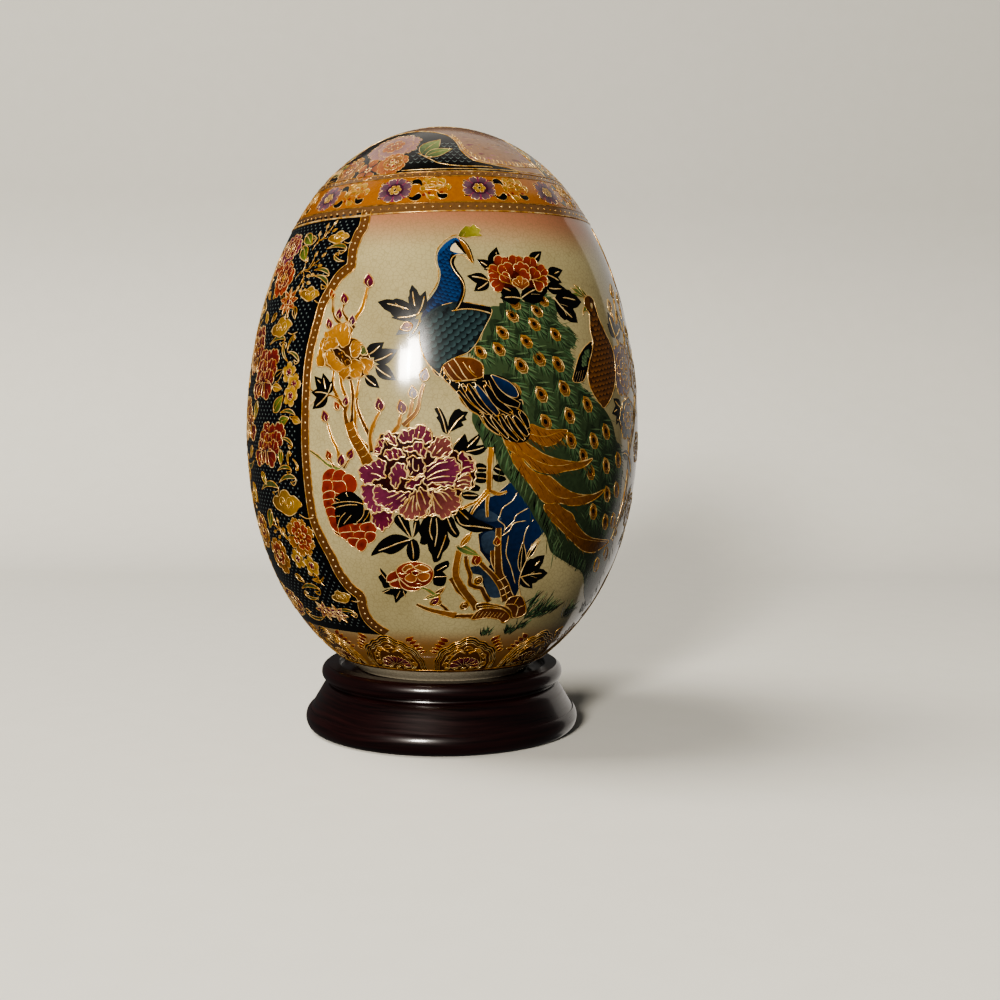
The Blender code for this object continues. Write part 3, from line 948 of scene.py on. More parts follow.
for outline, ribs in (  # the black leaves round the magenta peony, then those between it and the leg
    ([(-32.5, -27.2), (-34.7, -25.9), (-37.6, -25.7), (-40.3, -27.3), (-41.9, -29.4), (-42.9, -31.9),
        (-39.9, -30.8), (-37.6, -31.3), (-35.4, -30.4), (-33.8, -28.8)],
        [[(-32.6, -27), (-35.6, -28), (-38.4, -29.3), (-40.9, -30.4)]]),
    ([(-32.7, -27.3), (-33.4, -29.1), (-32.9, -31.6), (-31.2, -33.3), (-29.8, -32.3), (-29.9, -29.6),
        (-30.8, -27.4), (-31.9, -26.7)], [[(-32.3, -27.4), (-31.5, -30.3), (-31.2, -32.4)]]),
    ([(-32.7, -26.5), (-35.1, -24.5), (-37.4, -22.2), (-36.9, -20.4), (-34.2, -20.6), (-33, -23.9),
        (-32.4, -26.2)], [[(-32.6, -26.5), (-34.7, -23.3), (-36.4, -20.6)]]),
    ([(-32.1, -26.4), (-32.1, -24.4), (-32.3, -22.3), (-31.2, -20.8), (-30.4, -23.5), (-31, -25.3)],
        [[(-32, -26.2), (-31.6, -21.6)]]),
    ([(-29, -20.4), (-30.3, -22.7), (-30.9, -24.4), (-29.9, -26.1), (-30.1, -27.9), (-28.8, -28.4),
        (-28.1, -28.1), (-27.5, -29.9), (-26.6, -31.1), (-25.7, -33.3), (-24.1, -32.6), (-23.7, -30.5),
        (-22.7, -29.3), (-22.2, -27.2), (-22.8, -26.1), (-23.2, -24.3), (-24, -22.6), (-25.4, -20.4)],
        [[(-27.6, -21), (-27.8, -24.4), (-26.8, -27)], [(-23.4, -25.6), (-24.1, -29), (-24.9, -32.1)],
        [(-26.4, -21), (-25.8, -24.8), (-26, -28.8)]]),
    ([(-24.9, -20.4), (-24.1, -23.2), (-22.3, -25.5), (-20.6, -26.4), (-19.9, -25), (-21, -23.2),
        (-22.2, -20.8)], [[(-23.5, -21), (-22.1, -23.8), (-20.8, -25.4)]]),
    ([(-22, -18.6), (-20.4, -17.6), (-18.3, -19.2), (-16.5, -20.9), (-13.6, -22.2), (-10.5, -24),
        (-13.3, -24.7), (-16.1, -24.9), (-18.5, -24), (-20.8, -22.6), (-21.8, -21)],
        [[(-21.2, -20.6), (-19.6, -22.8), (-15.7, -23.3), (-11.4, -24)], [(-20.6, -19), (-18, -21.4)]]),
    ([(-27.8, 7.4), (-26.8, 5.6), (-27.3, 5.2), (-26.3, 3.6), (-25.7, 1.6), (-24.4, 1), (-24.2, 2.6),
        (-24.8, 4.8), (-25.6, 6.5), (-26.4, 7.6)], [[(-26.9, 7.9), (-25.6, 4.8), (-24.7, 1.2)]]),
    ([(-24, 1.5), (-24.2, 3.6), (-23.7, 5.3), (-22.4, 7.2), (-21.3, 7.5), (-20.5, 6.8), (-19, 6.7),
        (-19.8, 5.4), (-19.4, 4.6), (-20.8, 4.1), (-20.2, 3.2), (-22.1, 2.3)],
        [[(-24.4, 0.6), (-22.3, 3.9), (-20.2, 5.8)], [(-23, 2.6), (-21.6, 4.6), (-20.6, 5.2)]]),
    ([(-20.7, -3.8), (-22.3, -4.5), (-22.9, -2.7), (-21.3, -0.6), (-19.9, 1.1), (-19.1, -1.1),
        (-18.4, -0.4), (-15.6, 1.3), (-16.4, -1.1), (-17, -2), (-14.1, -1.7), (-14.7, -3.5), (-16.9, -4.5),
        (-19.1, -3.9)], [[(-22.7, -1.8), (-21.7, -0.6), (-20.4, 0.7)],
        [(-19.3, -2.5), (-17.5, -0.8), (-16, 0.8)], [(-19.6, -3.6), (-16.6, -3), (-14.4, -2.2)]]),
    ([(-17.3, -7.6), (-16.6, -6.6), (-15.2, -6.6), (-13.9, -7.5), (-13.9, -8.6), (-16.1, -8.8)],
        [[(-17, -7.8), (-14.2, -7.9)]]),
    ([(-17, -9.3), (-15.4, -9), (-13.9, -9.3), (-13.6, -10.6), (-14.4, -11.7), (-16.6, -11.6),
        (-17.3, -10.5)], [[(-17, -10.3), (-14, -10.6)]]),
    ([(-18.7, -12.5), (-17.1, -12), (-15.4, -12.8), (-15.8, -13.8), (-17.9, -13.7)], []),
    ([(-20, -14.2), (-18.1, -14), (-15.7, -14.9), (-16.9, -16.1), (-19.4, -15.9), (-20.2, -15.2)],
        [[(-19.8, -14.9), (-16.2, -15)]]),
    ([(-11.8, -7.2), (-10.2, -6.4), (-8.8, -7.2), (-8.7, -8.9), (-9.3, -9.8), (-11.1, -9.3), (-12.3, -8.2)],
        [[(-11.8, -7.8), (-9, -8.8)]]),
    ([(-12.2, -9.5), (-9.1, -10.1), (-8.5, -10.8), (-10, -11.5), (-11.6, -11.2), (-12.4, -10.4)], []),
):
    art.fill(smooth(outline, True, 0.9), "black")
    for rib in ribs:
        art.curve(rib, 0.56)

# The flowers: a yellow peony, two clusters of red blossom, a magenta peony and a small rose.
petals(art, [
    ([(-58, 19), (-57.6, 26.4), (-53, 28), (-49.6, 26), (-46.6, 24.4), (-44.6, 21), (-44.6, 17.4),
        (-47.6, 15.2), (-51.6, 15), (-55, 17.2)], "amber", (-50, 20, -90, 20), []),
    ([(-59.4, 25.1), (-57.8, 25.8), (-58.9, 23), (-58.5, 20.9), (-58, 19.2), (-58.9, 18.1), (-60.6, 18.5),
        (-61, 19.8), (-60.1, 22.3)], "yellow", (-57, 20, -62, 22), []),
    ([(-57.8, 27.5), (-56.3, 27.7), (-55.1, 28.5), (-53.8, 29.4), (-52.3, 29.7), (-50.9, 30.1), (-50, 28.9),
        (-49.8, 27.5), (-49.7, 26.1), (-50, 24.7), (-50.9, 23.8), (-51.9, 23.3), (-53, 23.7), (-53.5, 24.7),
        (-54.4, 25.6), (-56.8, 26.1), (-57.8, 25.8)], "yellow", (-54, 16, -52, 31),
        [[(-52.8, 27.4), (-52.4, 29)], [(-51.6, 27.6), (-50.9, 28.8)]]),
    ([(-58.7, 23.3), (-58.4, 24.4), (-57.5, 25.2), (-56.6, 25.9), (-55.4, 25.6), (-54.5, 25.9),
        (-53.7, 25.1), (-53.5, 23.7), (-54.2, 23.3), (-55.2, 23), (-57.1, 22.6), (-58.2, 22.3)], "yellow",
        (-54, 20, -58, 27), [[(-58, 23.4), (-57.4, 24.4), (-56.2, 24.9)]]),
    ([(-57.8, 21.8), (-56.8, 22.5), (-55.8, 22.1), (-54.7, 21.2), (-54.4, 20.2), (-53.3, 19.5),
        (-52.3, 18.8), (-51.2, 18.1), (-52.3, 17.1), (-54.2, 16.7), (-55.1, 17.1), (-55.8, 17.9),
        (-56.8, 18.6), (-57.3, 19.5), (-57.8, 20.7)], "yellow", (-58.4, 17, -54, 21), []),
    ([(-54, 16.7), (-53, 17.1), (-51.6, 17.8), (-50.5, 17.8), (-50.2, 16.7), (-50.9, 15.7), (-52.3, 14.6),
        (-53, 15.3)], "yellow", (-54, 14, -50, 20), []),
    ([(-50.2, 19.2), (-49.2, 20), (-48.1, 20), (-47.2, 19.5), (-46.4, 18.8), (-46, 17.9), (-46.7, 17.2),
        (-47.1, 16.2), (-47.8, 15.3), (-50, 15.3), (-50.5, 16.4), (-50, 17.1)], "yellow",
        (-51, 20, -47, 16), [[(-49.7, 17), (-49, 17.6)]]),
    ([(-47.2, 20.5), (-46, 20.4), (-44.6, 20.2), (-43.6, 20), (-43.3, 19.2), (-43.8, 18.1), (-44.5, 17.1),
        (-45.3, 16.2), (-46.4, 16.4), (-45.9, 18.1), (-46.4, 19.2), (-47.1, 19.8)], "yellow",
        (-48, 22, -44, 17), []),
    ([(-49.8, 21.6), (-50, 22.6), (-49.7, 23.8), (-49.2, 24.7), (-48.1, 24.9), (-47.1, 24.5), (-46.5, 23.7),
        (-46.7, 22.6), (-47.2, 21.4), (-48.1, 20.7), (-49.2, 20.4)], "yellow", (-51, 21, -46, 24),
        [[(-49.4, 22), (-48.6, 22.6)]]),
    ([(-46.7, 23.7), (-45.9, 23.8), (-45.3, 22.6), (-44.8, 21.6), (-45.7, 21.2), (-46.7, 21.2),
        (-46.9, 22.3)], "olive", (-60, 14, -46, 26), []),
    ([(-55.4, 22.8), (-54.4, 23.1), (-53, 22.8), (-52.1, 22.1), (-50.9, 20.9), (-49.8, 20.2), (-49.8, 19.2),
        (-50.5, 18.3), (-51.2, 18.1), (-52.3, 18.8), (-53.3, 19.7), (-54.2, 20.7), (-55.1, 21.8)], "umber",
        (-54, 24, -40, 6), []),
], 0.5, ROSY, 0.12, 1.7)
art.curve([(-58.4, 22), (-58.3, 20.4), (-57.6, 19), (-56, 18.2)], 0.5)
for spot in ((-53.4, 21.6), (-52.4, 20.8), (-51.6, 19.6), (-52.6, 21.8), (-51, 20)):
    art.fill(spot + arc_points(0.3, 5), "yellow")
petals(art, [  # two clusters of red blossom, the upper one behind the leaf
    ([(-58.6, -10.4), (-57.4, -8.8), (-55, -9), (-52.4, -9.4), (-50.6, -10.4), (-49, -11.4), (-48.6, -13),
        (-49.6, -14.6), (-53, -15.2), (-54.8, -18), (-54, -24.4), (-52.6, -26.8), (-54.6, -26),
        (-56.4, -23.4), (-57.4, -20.4), (-58.4, -18.4), (-58.8, -15.8), (-59.2, -12.6)], "iron red",
        (-50, -30, -56, -6), []),
    ([(-53.4, -25), (-50.6, -23.4), (-47.6, -23.4), (-45, -23.4), (-43, -23.6), (-42.6, -26),
        (-43.6, -27.8), (-44.6, -28.2), (-45, -29.8), (-46.4, -30.2), (-48.6, -29.4), (-50.8, -28),
        (-52.6, -26.4)], "iron red", (-50, -34, -48, -21), []),
], 0.5, ROSY)
petals(art, [
    (np.mean(outline, 0) + 1.2 * (outline - np.mean(outline, 0)), "vermilion",
        (*np.mean(outline, 0), 1.5), [])
    for outline in (
    [(-58.7, -11.6), (-58.6, -10.3), (-57.4, -9.1), (-55.8, -8.8), (-54.9, -9.6), (-55.5, -10.7),
        (-56.7, -11.3), (-57.7, -12.2)],
    [(-55.5, -10.7), (-54.9, -9.5), (-53.3, -9), (-52.1, -9.7), (-51.8, -10.9), (-53, -11.7),
        (-54.5, -12.1), (-55.6, -11.9)],
    [(-52.1, -10.6), (-50.6, -10.2), (-49.1, -11.1), (-48.6, -12.6), (-49, -14), (-50.5, -14.3),
        (-51.7, -13.5), (-52.3, -12.2)],
    [(-56.1, -12.2), (-54.2, -12.1), (-52.6, -12.1), (-51.8, -13.5), (-52.2, -14.6), (-54.1, -14.8),
        (-55.7, -14.2), (-56.4, -13.1)],
    [(-59, -13.8), (-58.8, -12.3), (-57.7, -12), (-56.4, -12.2), (-56, -13.7), (-57, -14.8), (-58.3, -15.3),
        (-59, -14.6)],
    [(-58.7, -15.9), (-58.3, -15.3), (-56.6, -14.7), (-55.3, -15), (-55.3, -16.1), (-55.9, -16.9),
        (-57.5, -17.2), (-58.6, -16.7)],
    [(-58.2, -18.6), (-58.4, -17.3), (-57.2, -17.1), (-55.8, -16.9), (-55.2, -18.2), (-55.8, -19.3),
        (-57.1, -19.7)],
    [(-57.1, -21), (-57.5, -19.7), (-56.2, -19.2), (-55.2, -19.3), (-54.5, -20.6), (-54.8, -21.8),
        (-56, -22.1)],
    [(-56, -23.5), (-56.4, -22.1), (-55.1, -21.8), (-54.1, -22.5), (-53.6, -24.5), (-52.9, -25.8),
        (-54.2, -25.3), (-55.3, -24.6)],
    [(-53, -25), (-52.4, -23.7), (-50.9, -23.2), (-49.7, -23.4), (-49, -24.2), (-49.9, -25.4), (-51.4, -26),
        (-52.6, -25.8)],
    [(-49.7, -23.4), (-48.2, -23.4), (-46.7, -23.1), (-46.1, -24.1), (-46.6, -25.2), (-48, -25.6),
        (-49, -25.1), (-49.3, -24.3)],
    [(-46.4, -23.6), (-44.7, -22.9), (-43, -23.1), (-42.3, -24.2), (-42.9, -25.4), (-44.3, -25.7),
        (-45.7, -25.2), (-46.4, -24.4)],
    [(-52.3, -26.1), (-50.4, -25.7), (-48.6, -25.6), (-48, -26.4), (-48.5, -27.3), (-50.3, -27.6),
        (-51.9, -27.1)],
    [(-48.3, -25.9), (-46.6, -25.3), (-45.1, -25.6), (-44.5, -26.5), (-45, -27.4), (-46.7, -27.5),
        (-47.9, -27)],
    [(-44.8, -25.7), (-43.2, -25.4), (-42.3, -25.9), (-42.5, -27.2), (-43.8, -28.1), (-44.7, -27.4)],
    [(-49.9, -27.5), (-48.2, -27.3), (-47, -27.5), (-46.4, -28.3), (-46.9, -29.4), (-48.4, -29.4),
        (-49.6, -28.6)],
    [(-46.7, -27.8), (-45.3, -27.4), (-44.6, -28.2), (-44.8, -29.4), (-45.6, -30.5), (-46.8, -30.2),
        (-47.3, -29.2)],
)], 0.42, CREAMY)
LEAF_LINES = [
    [(-46.2, -17.8), (-48, -17.3), (-51, -17.2), (-54, -17.6), (-56, -18.2)],
    [(-48, -18), (-51, -18.1), (-54.4, -18.9)],
    [(-46, -18.6), (-46, -20.4), (-46.8, -21.8), (-48, -22.8)], [(-51.4, -20.2), (-53, -22), (-53.8, -24.8)],
    [(-49.6, -20.8), (-51, -22.4), (-51.8, -23.4)], [(-44.4, -19.6), (-45, -21.2), (-46, -22.4)],
    [(-46, -19.2), (-44.2, -19.4), (-44, -22.4)],
    [(-51.6, -14.8), (-50.9, -15.9)], [(-54.6, -21.4), (-53, -21.2)], [(-54.8, -16.4), (-53.4, -16.9)],
]
petals(art, [
    ([(-46, -19), (-46.4, -17), (-47.6, -15.8), (-49.6, -14.6), (-52.2, -14.6), (-54, -15.6),
        (-55.2, -16.6), (-54.4, -17.4), (-56, -18.2), (-54.6, -19), (-54.8, -20.4), (-54.4, -21.6),
        (-53.6, -24.4), (-51, -23.6), (-49.6, -23.2), (-46, -22.8), (-44.2, -22.2), (-44, -19.6)], "black",
        None, []),
], 0)
for line in LEAF_LINES:
    art.curve(line, 0.4)
petals(art, [  # the magenta peony, its outer petals first
    ([(-44, -4.6), (-43.4, -2.6), (-42.4, 0), (-40, 1.4), (-38, 0.8), (-36, 1.8), (-33, 2.6), (-31.1, 3.5),
        (-29, 2), (-28, 0.2), (-24, 0.2), (-23, -3), (-21.4, -3.8), (-19.6, -4), (-17, -6.4),
        (-17.4, -12.8), (-20.4, -14), (-20.2, -18), (-23, -20.6), (-28, -20.4), (-33, -21.6), (-37, -19.4),
        (-41, -18.4), (-43.6, -14), (-44, -11), (-42, -6)], "deep red", (-30, -8, 900), []),
    ([(-43.6, -20.2), (-42, -20), (-40.8, -19.2), (-39.4, -19.6), (-38, -20), (-37.8, -21.4), (-38, -22.8),
        (-39.2, -23.8), (-40.6, -24.9), (-42, -23.8), (-43.2, -22.8)], "manganese maroon",
        (-41, -16, -40, -25), [[(-39.4, -21), (-38.8, -22)]]),
    ([(-46.8, -12.8), (-45.4, -12.6), (-43.6, -12.4), (-43.2, -13.6), (-43, -15), (-43.2, -16.6),
        (-42.4, -17.7), (-41, -18), (-41, -19.2), (-42, -19.9), (-43.6, -19.6), (-45, -18.6),
        (-46.2, -16.8), (-46.9, -14.8)], "wine", (-41, -8, -47, -18), []),
    ([(-47.6, -7.6), (-46, -7.4), (-44.4, -7), (-43.4, -6), (-42, -5.8), (-40.8, -6.2), (-40.3, -7.4),
        (-40.9, -8.8), (-40.3, -10.2), (-41.4, -10.8), (-43.2, -11.2), (-45.2, -12.4), (-46.4, -12.2),
        (-47.2, -11), (-47.9, -9.4)], "wine", (-39, -14, -48, -4),
        [[(-44.4, -9.5), (-42.6, -9.8), (-41, -10.8)], [(-42.8, -7.6), (-41.8, -8)]]),
    ([(-21.7, -4.6), (-21.3, -3.9), (-20.2, -3.7), (-19.6, -4.6), (-18.9, -5.6), (-17.6, -6.1),
        (-17.2, -7.1), (-17.6, -8.8), (-18.9, -9.1), (-20.4, -9.7), (-20.8, -8.6), (-20.4, -7.4),
        (-21.1, -5.9)], "manganese maroon", (-24, -6, -17, -7),
        [[(-20.6, -8.2), (-19.4, -7.6), (-18.2, -7.4)], [(-20.6, -9.6), (-19.4, -9), (-18.2, -9)]]),
    ([(-22.1, -10.8), (-20.8, -10.3), (-19.1, -9.1), (-18.1, -9.7), (-17.9, -11.2), (-17.9, -12.5),
        (-19.1, -13.1), (-20.4, -13.5), (-21.5, -13.3), (-22.3, -12.5)], "blush", (-25, -11, -15, -11),
        [[(-21.6, -11.4), (-20, -10.9), (-18.8, -11)], [(-21.6, -12.6), (-20, -12), (-18.6, -12.2)]]),
    ([(-43.4, -12.9), (-42.2, -12.5), (-40.9, -13.3), (-39.6, -14), (-37, -14.2), (-33.4, -14.4),
        (-34.3, -16.1), (-35.3, -17.6), (-36.6, -18.6), (-37.5, -19.5), (-39, -19.1), (-40.2, -18.4),
        (-41.7, -17.8), (-42.8, -17.2), (-43.4, -15.7)], "wine", (-34, -13, -43, -18),
        [[(-36.5, -14.4), (-38.4, -15.4), (-39.8, -15.8)], [(-35.2, -14.8), (-37.2, -16.2)],
        [(-34.6, -15.4), (-36, -16.8)], [(-38.2, -17), (-39.2, -17.8)]]),
    ([(-41, 0.4), (-39.8, 1.2), (-38.8, 0.6), (-38, -0.2), (-37.4, -1.8), (-38.4, -2.2), (-39.6, -1.2)],
        "manganese maroon", (-36, -6, -40, 2), [[(-40.2, 0), (-38.6, -1.6)]]),
    ([(-43.9, -4.4), (-43.7, -3.3), (-42.6, -2.2), (-42.5, -1), (-41.7, -0.3), (-40.7, -1), (-41.3, -2.2),
        (-41.5, -3.5), (-42.2, -4.3)], "manganese maroon", (-38, -6, -44, -1), []),
    ([(-36.9, 0.6), (-36, 1.6), (-34.5, 1.8), (-33.2, 2.2), (-31.9, 3), (-31.1, 3.4), (-30, 2.7),
        (-28.9, 1.6), (-28.3, 0.5), (-28.4, -0.4), (-29.2, -1.4), (-30, -1.6), (-31.1, -0.6), (-32.1, -0.3),
        (-33.2, -0.6), (-34.1, -1.2), (-36.6, -1.2)], "manganese maroon", (-33, -8, -32, 3),
        [[(-32.1, -0.2), (-31.7, 1.6)], [(-31.1, -0.6), (-30, 1.2)], [(-33.3, -0.6), (-33.3, 0.8)]]),
    ([(-29.6, -2.7), (-28.3, -1.6), (-27.4, -0.3), (-26.2, 0), (-24, -0.2), (-23.6, -1.4), (-23.2, -3.9),
        (-24.7, -4.8), (-26.2, -5), (-27.4, -5.2), (-28.3, -4.8), (-28.9, -3.9)], "blush",
        (-30, -8, -24, 2), [[(-28.4, -4.2), (-27.4, -2.2)], [(-27.2, -4.2), (-25.6, -2.5)],
        [(-25.8, -4.6), (-24.4, -3.5)]]),
    ([(-36, -2.5), (-34.2, -2.6), (-33.2, -1.8), (-31.9, -1), (-31, -1.4), (-30.2, -2.7), (-29.7, -3.9),
        (-30.2, -5.2), (-31.3, -4.8), (-32.1, -3.8), (-33.6, -3.5), (-34.6, -3.9)], "manganese maroon",
        (-33, -10, -31, 1), [[(-31.4, -4.6), (-31.2, -3)]]),
    ([(-41, -4.8), (-40.9, -3.9), (-39.8, -3.3), (-38.5, -2.9), (-37, -2.9), (-36.4, -3.5), (-35.3, -4.6),
        (-36.2, -5.2), (-37.9, -5.7), (-39.2, -5.9)], "manganese maroon", (-35, -10, -40, -2),
        [[(-38.2, -5.6), (-38.8, -4)], [(-37, -5.4), (-37.5, -4.2)]]),
    ([(-29.8, -7.4), (-28.3, -6.9), (-26.8, -5.6), (-24.7, -5.2), (-23.4, -5), (-22.3, -5.6), (-21.5, -6.9),
        (-20.8, -8.2), (-21.5, -9.7), (-22.1, -10.8), (-22.3, -12), (-23.8, -12.5), (-29.4, -12.5),
        (-30.2, -11.6), (-30.2, -9.5)], "wine", (-30, -10, -20, -8),
        [[(-29.4, -8.9), (-28, -7.6), (-26.4, -6.6), (-24.2, -6.2)],
        [(-29.6, -10.6), (-27.6, -9.2), (-25.4, -8.4), (-23.8, -8.2)],
        [(-29.4, -11), (-27.4, -10.4), (-25.4, -10), (-23.6, -10)],
        [(-28.2, -11.6), (-26, -11.6), (-23.8, -11.4)], [(-28, -6.6), (-27, -5)]]),
    ([(-29.4, -13.3), (-27.9, -13.7), (-26.4, -13.7), (-24.7, -13.3), (-23, -13.1), (-22.1, -13.7),
        (-21.5, -15), (-20.6, -15.9), (-20.4, -17.2), (-20.6, -18.4), (-21.9, -19.1), (-23, -20.4),
        (-24, -21.2), (-25.5, -21), (-26.2, -19.9), (-27.4, -20.1), (-28.5, -20.1), (-28.1, -18),
        (-27.9, -15.5)], "blush", (-29, -13, -22, -21),
        [[(-27.6, -14), (-25.6, -14.6), (-24, -16.6)], [(-26.6, -13.9), (-24.4, -14.4), (-22.6, -16.2)],
        [(-28, -14.2), (-26.6, -16.6), (-25, -18.6)], [(-28.2, -14.6), (-27.4, -17), (-27, -19)]]),
    ([(-31.9, -14.2), (-32.4, -13.5), (-33.2, -14.6), (-34.1, -15.9), (-35.1, -17.4), (-36, -18.2),
        (-36.6, -19.1), (-36, -19.9), (-34.9, -20.8), (-33.6, -21.6), (-32.4, -21.4), (-31.1, -20.6),
        (-29.8, -20.8), (-29.2, -19.9), (-28.7, -18.9), (-28.3, -17.2), (-28.3, -15.5), (-29.2, -14.2),
        (-30.4, -13.3), (-31.3, -13.1)], "blush", (-31, -13, -32, -22),
        [[(-32, -14.2), (-31.6, -16.6), (-30.6, -19)], [(-31.4, -13.4), (-30.4, -15), (-29.4, -17.4)],
        [(-32.6, -15), (-32.8, -17.4), (-32.8, -19.6)], [(-33, -15.2), (-34, -17.4), (-34.6, -19.4)],
        [(-33.6, -15.6), (-35, -17.6)], [(-31.9, -16.8), (-31.6, -19)]]),
    ([(-29.4, -12.5), (-28.3, -11.8), (-26.8, -12), (-25.5, -12.7), (-26.8, -13.1), (-28.3, -13.3)],
        "deep red", None, []),
    ([(-34.6, -5.4), (-33.4, -4.8), (-32, -5.2), (-30.8, -5.6), (-30.2, -7), (-30.4, -9), (-31.8, -9.8),
        (-33.4, -10.4), (-34.4, -9)], "manganese maroon", (-33, -10, 900),
        [[(-34.2, -6), (-34, -7.6)], [(-33.2, -5.4), (-33.2, -7.8), (-32.6, -8.6), (-31.7, -8.4),
        (-31.8, -7)], [(-33.2, -8.8), (-33.8, -9.8)]]),
    ([(-39.4, -9.7), (-38.8, -8.6), (-38.1, -7.1), (-36.8, -6.7), (-35.6, -6.9), (-35.3, -8.2),
        (-34.5, -9.7), (-34.9, -10.6), (-36.4, -10.6), (-36.6, -12.5), (-37.9, -13.3), (-38.5, -12.5),
        (-39, -11.2)], "wine", (-34, -16, -38, -4),
        [[(-35.6, -8), (-34.9, -9), (-34.6, -10)], [(-37.5, -11.6), (-37.7, -12.9)]]),
    ([(-34.9, -11.8), (-33.2, -11), (-31.9, -10.8), (-30.4, -9.7), (-30.1, -10.3), (-30.9, -11.6),
        (-32.1, -12.5), (-33.2, -13.3), (-34.5, -13.3)], "manganese maroon", (-30, -9, -36, -14),
        [[(-34.9, -10.9), (-33, -10.8), (-31.6, -10.2), (-30.3, -9)]]),
], 0.7, CREAMY, 0.22, 1.9)
art.tone = ROSY
for outline in (
    [(-37.4, -38), (-40, -35.4), (-39.4, -37.2), (-40.2, -38), (-38.8, -40), (-38, -41.4), (-36, -40.6)],
    [(-36.4, -41.6), (-38.4, -42.6), (-36.6, -43.4), (-35, -43.6), (-34, -46), (-33, -44.6), (-31.4, -42.4),
        (-33, -41.4)],
    [(-25.4, -35), (-24.4, -33.8), (-22, -32.8), (-21.6, -34.6), (-23, -36), (-21.8, -37.2), (-22, -40.2),
        (-24.6, -40), (-25.2, -38)],
):
    art.fill(smooth(outline, True, 0.8), "black")
for line in ([(-37.6, -39), (-40.2, -36)], [(-36.4, -41.8), (-38.2, -43)], [(-33.4, -42), (-34, -44.6)],
        [(-24.6, -35.8), (-22.2, -34.2)], [(-25, -37.6), (-21.4, -37.4)], [(-32.6, -42), (-31.6, -44)]):
    art.curve(line, 0.42)
petals(art, [  # the small rose
    ([(-37.7, -38.7), (-37.6, -37.5), (-36.4, -36.4), (-34.8, -36.1), (-34.1, -37.1), (-34.5, -38.3),
        (-35.8, -38.9), (-36.8, -39.6), (-37.5, -39.4)], "vermilion", (-33, -38, -38, -36), []),
    ([(-36.7, -39.9), (-35.5, -39.1), (-34.1, -38.9), (-32.9, -39.7), (-32.2, -41), (-33.5, -41.3),
        (-35.2, -41.1), (-36.4, -40.5)], "vermilion", (-31, -38, -36, -42), []),
    ([(-34.2, -38.3), (-33, -39.4), (-31.4, -40.6), (-29.5, -40.9), (-27.7, -40.5), (-28.8, -41.8),
        (-30.9, -42), (-32.7, -41.3), (-33.7, -40.1)], "vermilion", (-31, -38, -31, -43), []),
    ([(-35.4, -35.9), (-34.5, -34.4), (-32.7, -33.5), (-30.7, -33.2), (-28.5, -33.6), (-26.5, -34.5),
        (-25.4, -36), (-25.3, -37.8), (-25.8, -39.3), (-27.2, -40.5), (-29.3, -40.9), (-31.2, -40.6),
        (-33, -39.4), (-34.3, -38)], "vermilion", (-30, -44, -30, -33),
        [[(-34.6, -36.6), (-33.6, -36.9), (-32.4, -36.6)], [(-34, -38), (-33.2, -38.4)],
        [(-27.8, -40), (-28.6, -39.6), (-29.4, -39.8)], [(-25.9, -36.2), (-26.4, -35.2), (-27.6, -34.4)]]),
    ([(-33.8, -35.6), (-33.1, -34.5), (-31.6, -34), (-30.9, -34.9), (-32.2, -35.5), (-32.9, -36.4)],
        "coral", (-34, -36, -31, -34), []),
    ([(-30.7, -34.9), (-29, -34), (-27, -34.8), (-26.4, -35.7), (-27.6, -36.1), (-29.2, -35.7)], "coral",
        (-30, -37, -28, -34), []),
    ([(-29.3, -36.9), (-27.8, -36.3), (-26.2, -36.9), (-26.5, -38.4), (-28, -39), (-29.2, -38.1)], "coral",
        (-31, -37, -26, -38), []),
    ([(-32.7, -37.9), (-31.5, -36.7), (-30.1, -37.2), (-29.6, -38.7), (-30.8, -39.4), (-32.3, -38.8)],
        "coral", (-28, -36, -33, -39), []),
    ([(-31.2, -36.1), (-29.8, -35.9), (-29, -36.5), (-29.8, -37.3), (-30.9, -36.9)], "deep red", None, []),
], 0.5, CREAMY)


# ---------------------------------------------------------------------------------------------
# The peacock, which stands on the trunk with its back to the sun: a cobalt neck, scaled teal
# body, brown and blue wing, amber plumes, and a green train set with eyes.
# ---------------------------------------------------------------------------------------------

QUILL = [(0, 0), (0.5, 0.5), (1, 0), (0.5, -0.5)]


def hatched(art, outline, root, count, length, pigments, spread=14.0, wide=0.26, seed=1):
    """Fine brushed barbs all over an outline, combed away from the feather's root."""
    rng = random.Random(seed)
    outline = np.array(outline, float)
    low, high = outline.min(0), outline.max(0)
    spots = np.array([(rng.uniform(low[0], high[0]), rng.uniform(low[1], high[1])) for _ in range(count)])
    for spot in spots[inside(spots, outline)]:
        run = spot - root
        turn = math.degrees(math.atan2(run[1], run[0])) + rng.uniform(-spread, spread)
        end = spot + heading(turn) * length * rng.uniform(0.6, 1.2)
        art.fill(turned_to(QUILL, spot, end, wide / length), rng.choice(pigments))


FEATHER = np.concatenate([arc_points(0.56, 7, -80, 160), [(-0.75, 0.3), (-0.75, -0.3)]])


def scaled(art, outline, pitch, pigment, gold=0, lean=-50.0):
    """Feathers like roof tiles, each dark under its neighbour and pale at its round edge."""
    outline = np.array(outline, float)
    low, high = outline.min(0) - 3, outline.max(0) + 3
    down = heading(lean)
    across = np.array([-down[1], down[0]])
    middle, span = (low + high) / 2, math.dist(low, high) / 2
    reach = int(span / pitch) + 1
    for i in range(reach, -reach - 1, -1):
        for j in range(-reach, reach + 1):
            spot = middle + across * (j + 0.5 * (i % 2)) * pitch + down * i * pitch * 0.8
            tile = spot + FEATHER @ np.array([down, across]) * pitch
            if inside(tile, outline).all():
                art.shape(tile, pigment, (*(spot - down * pitch * 0.3), *(spot + down * pitch * 0.62)), gold)


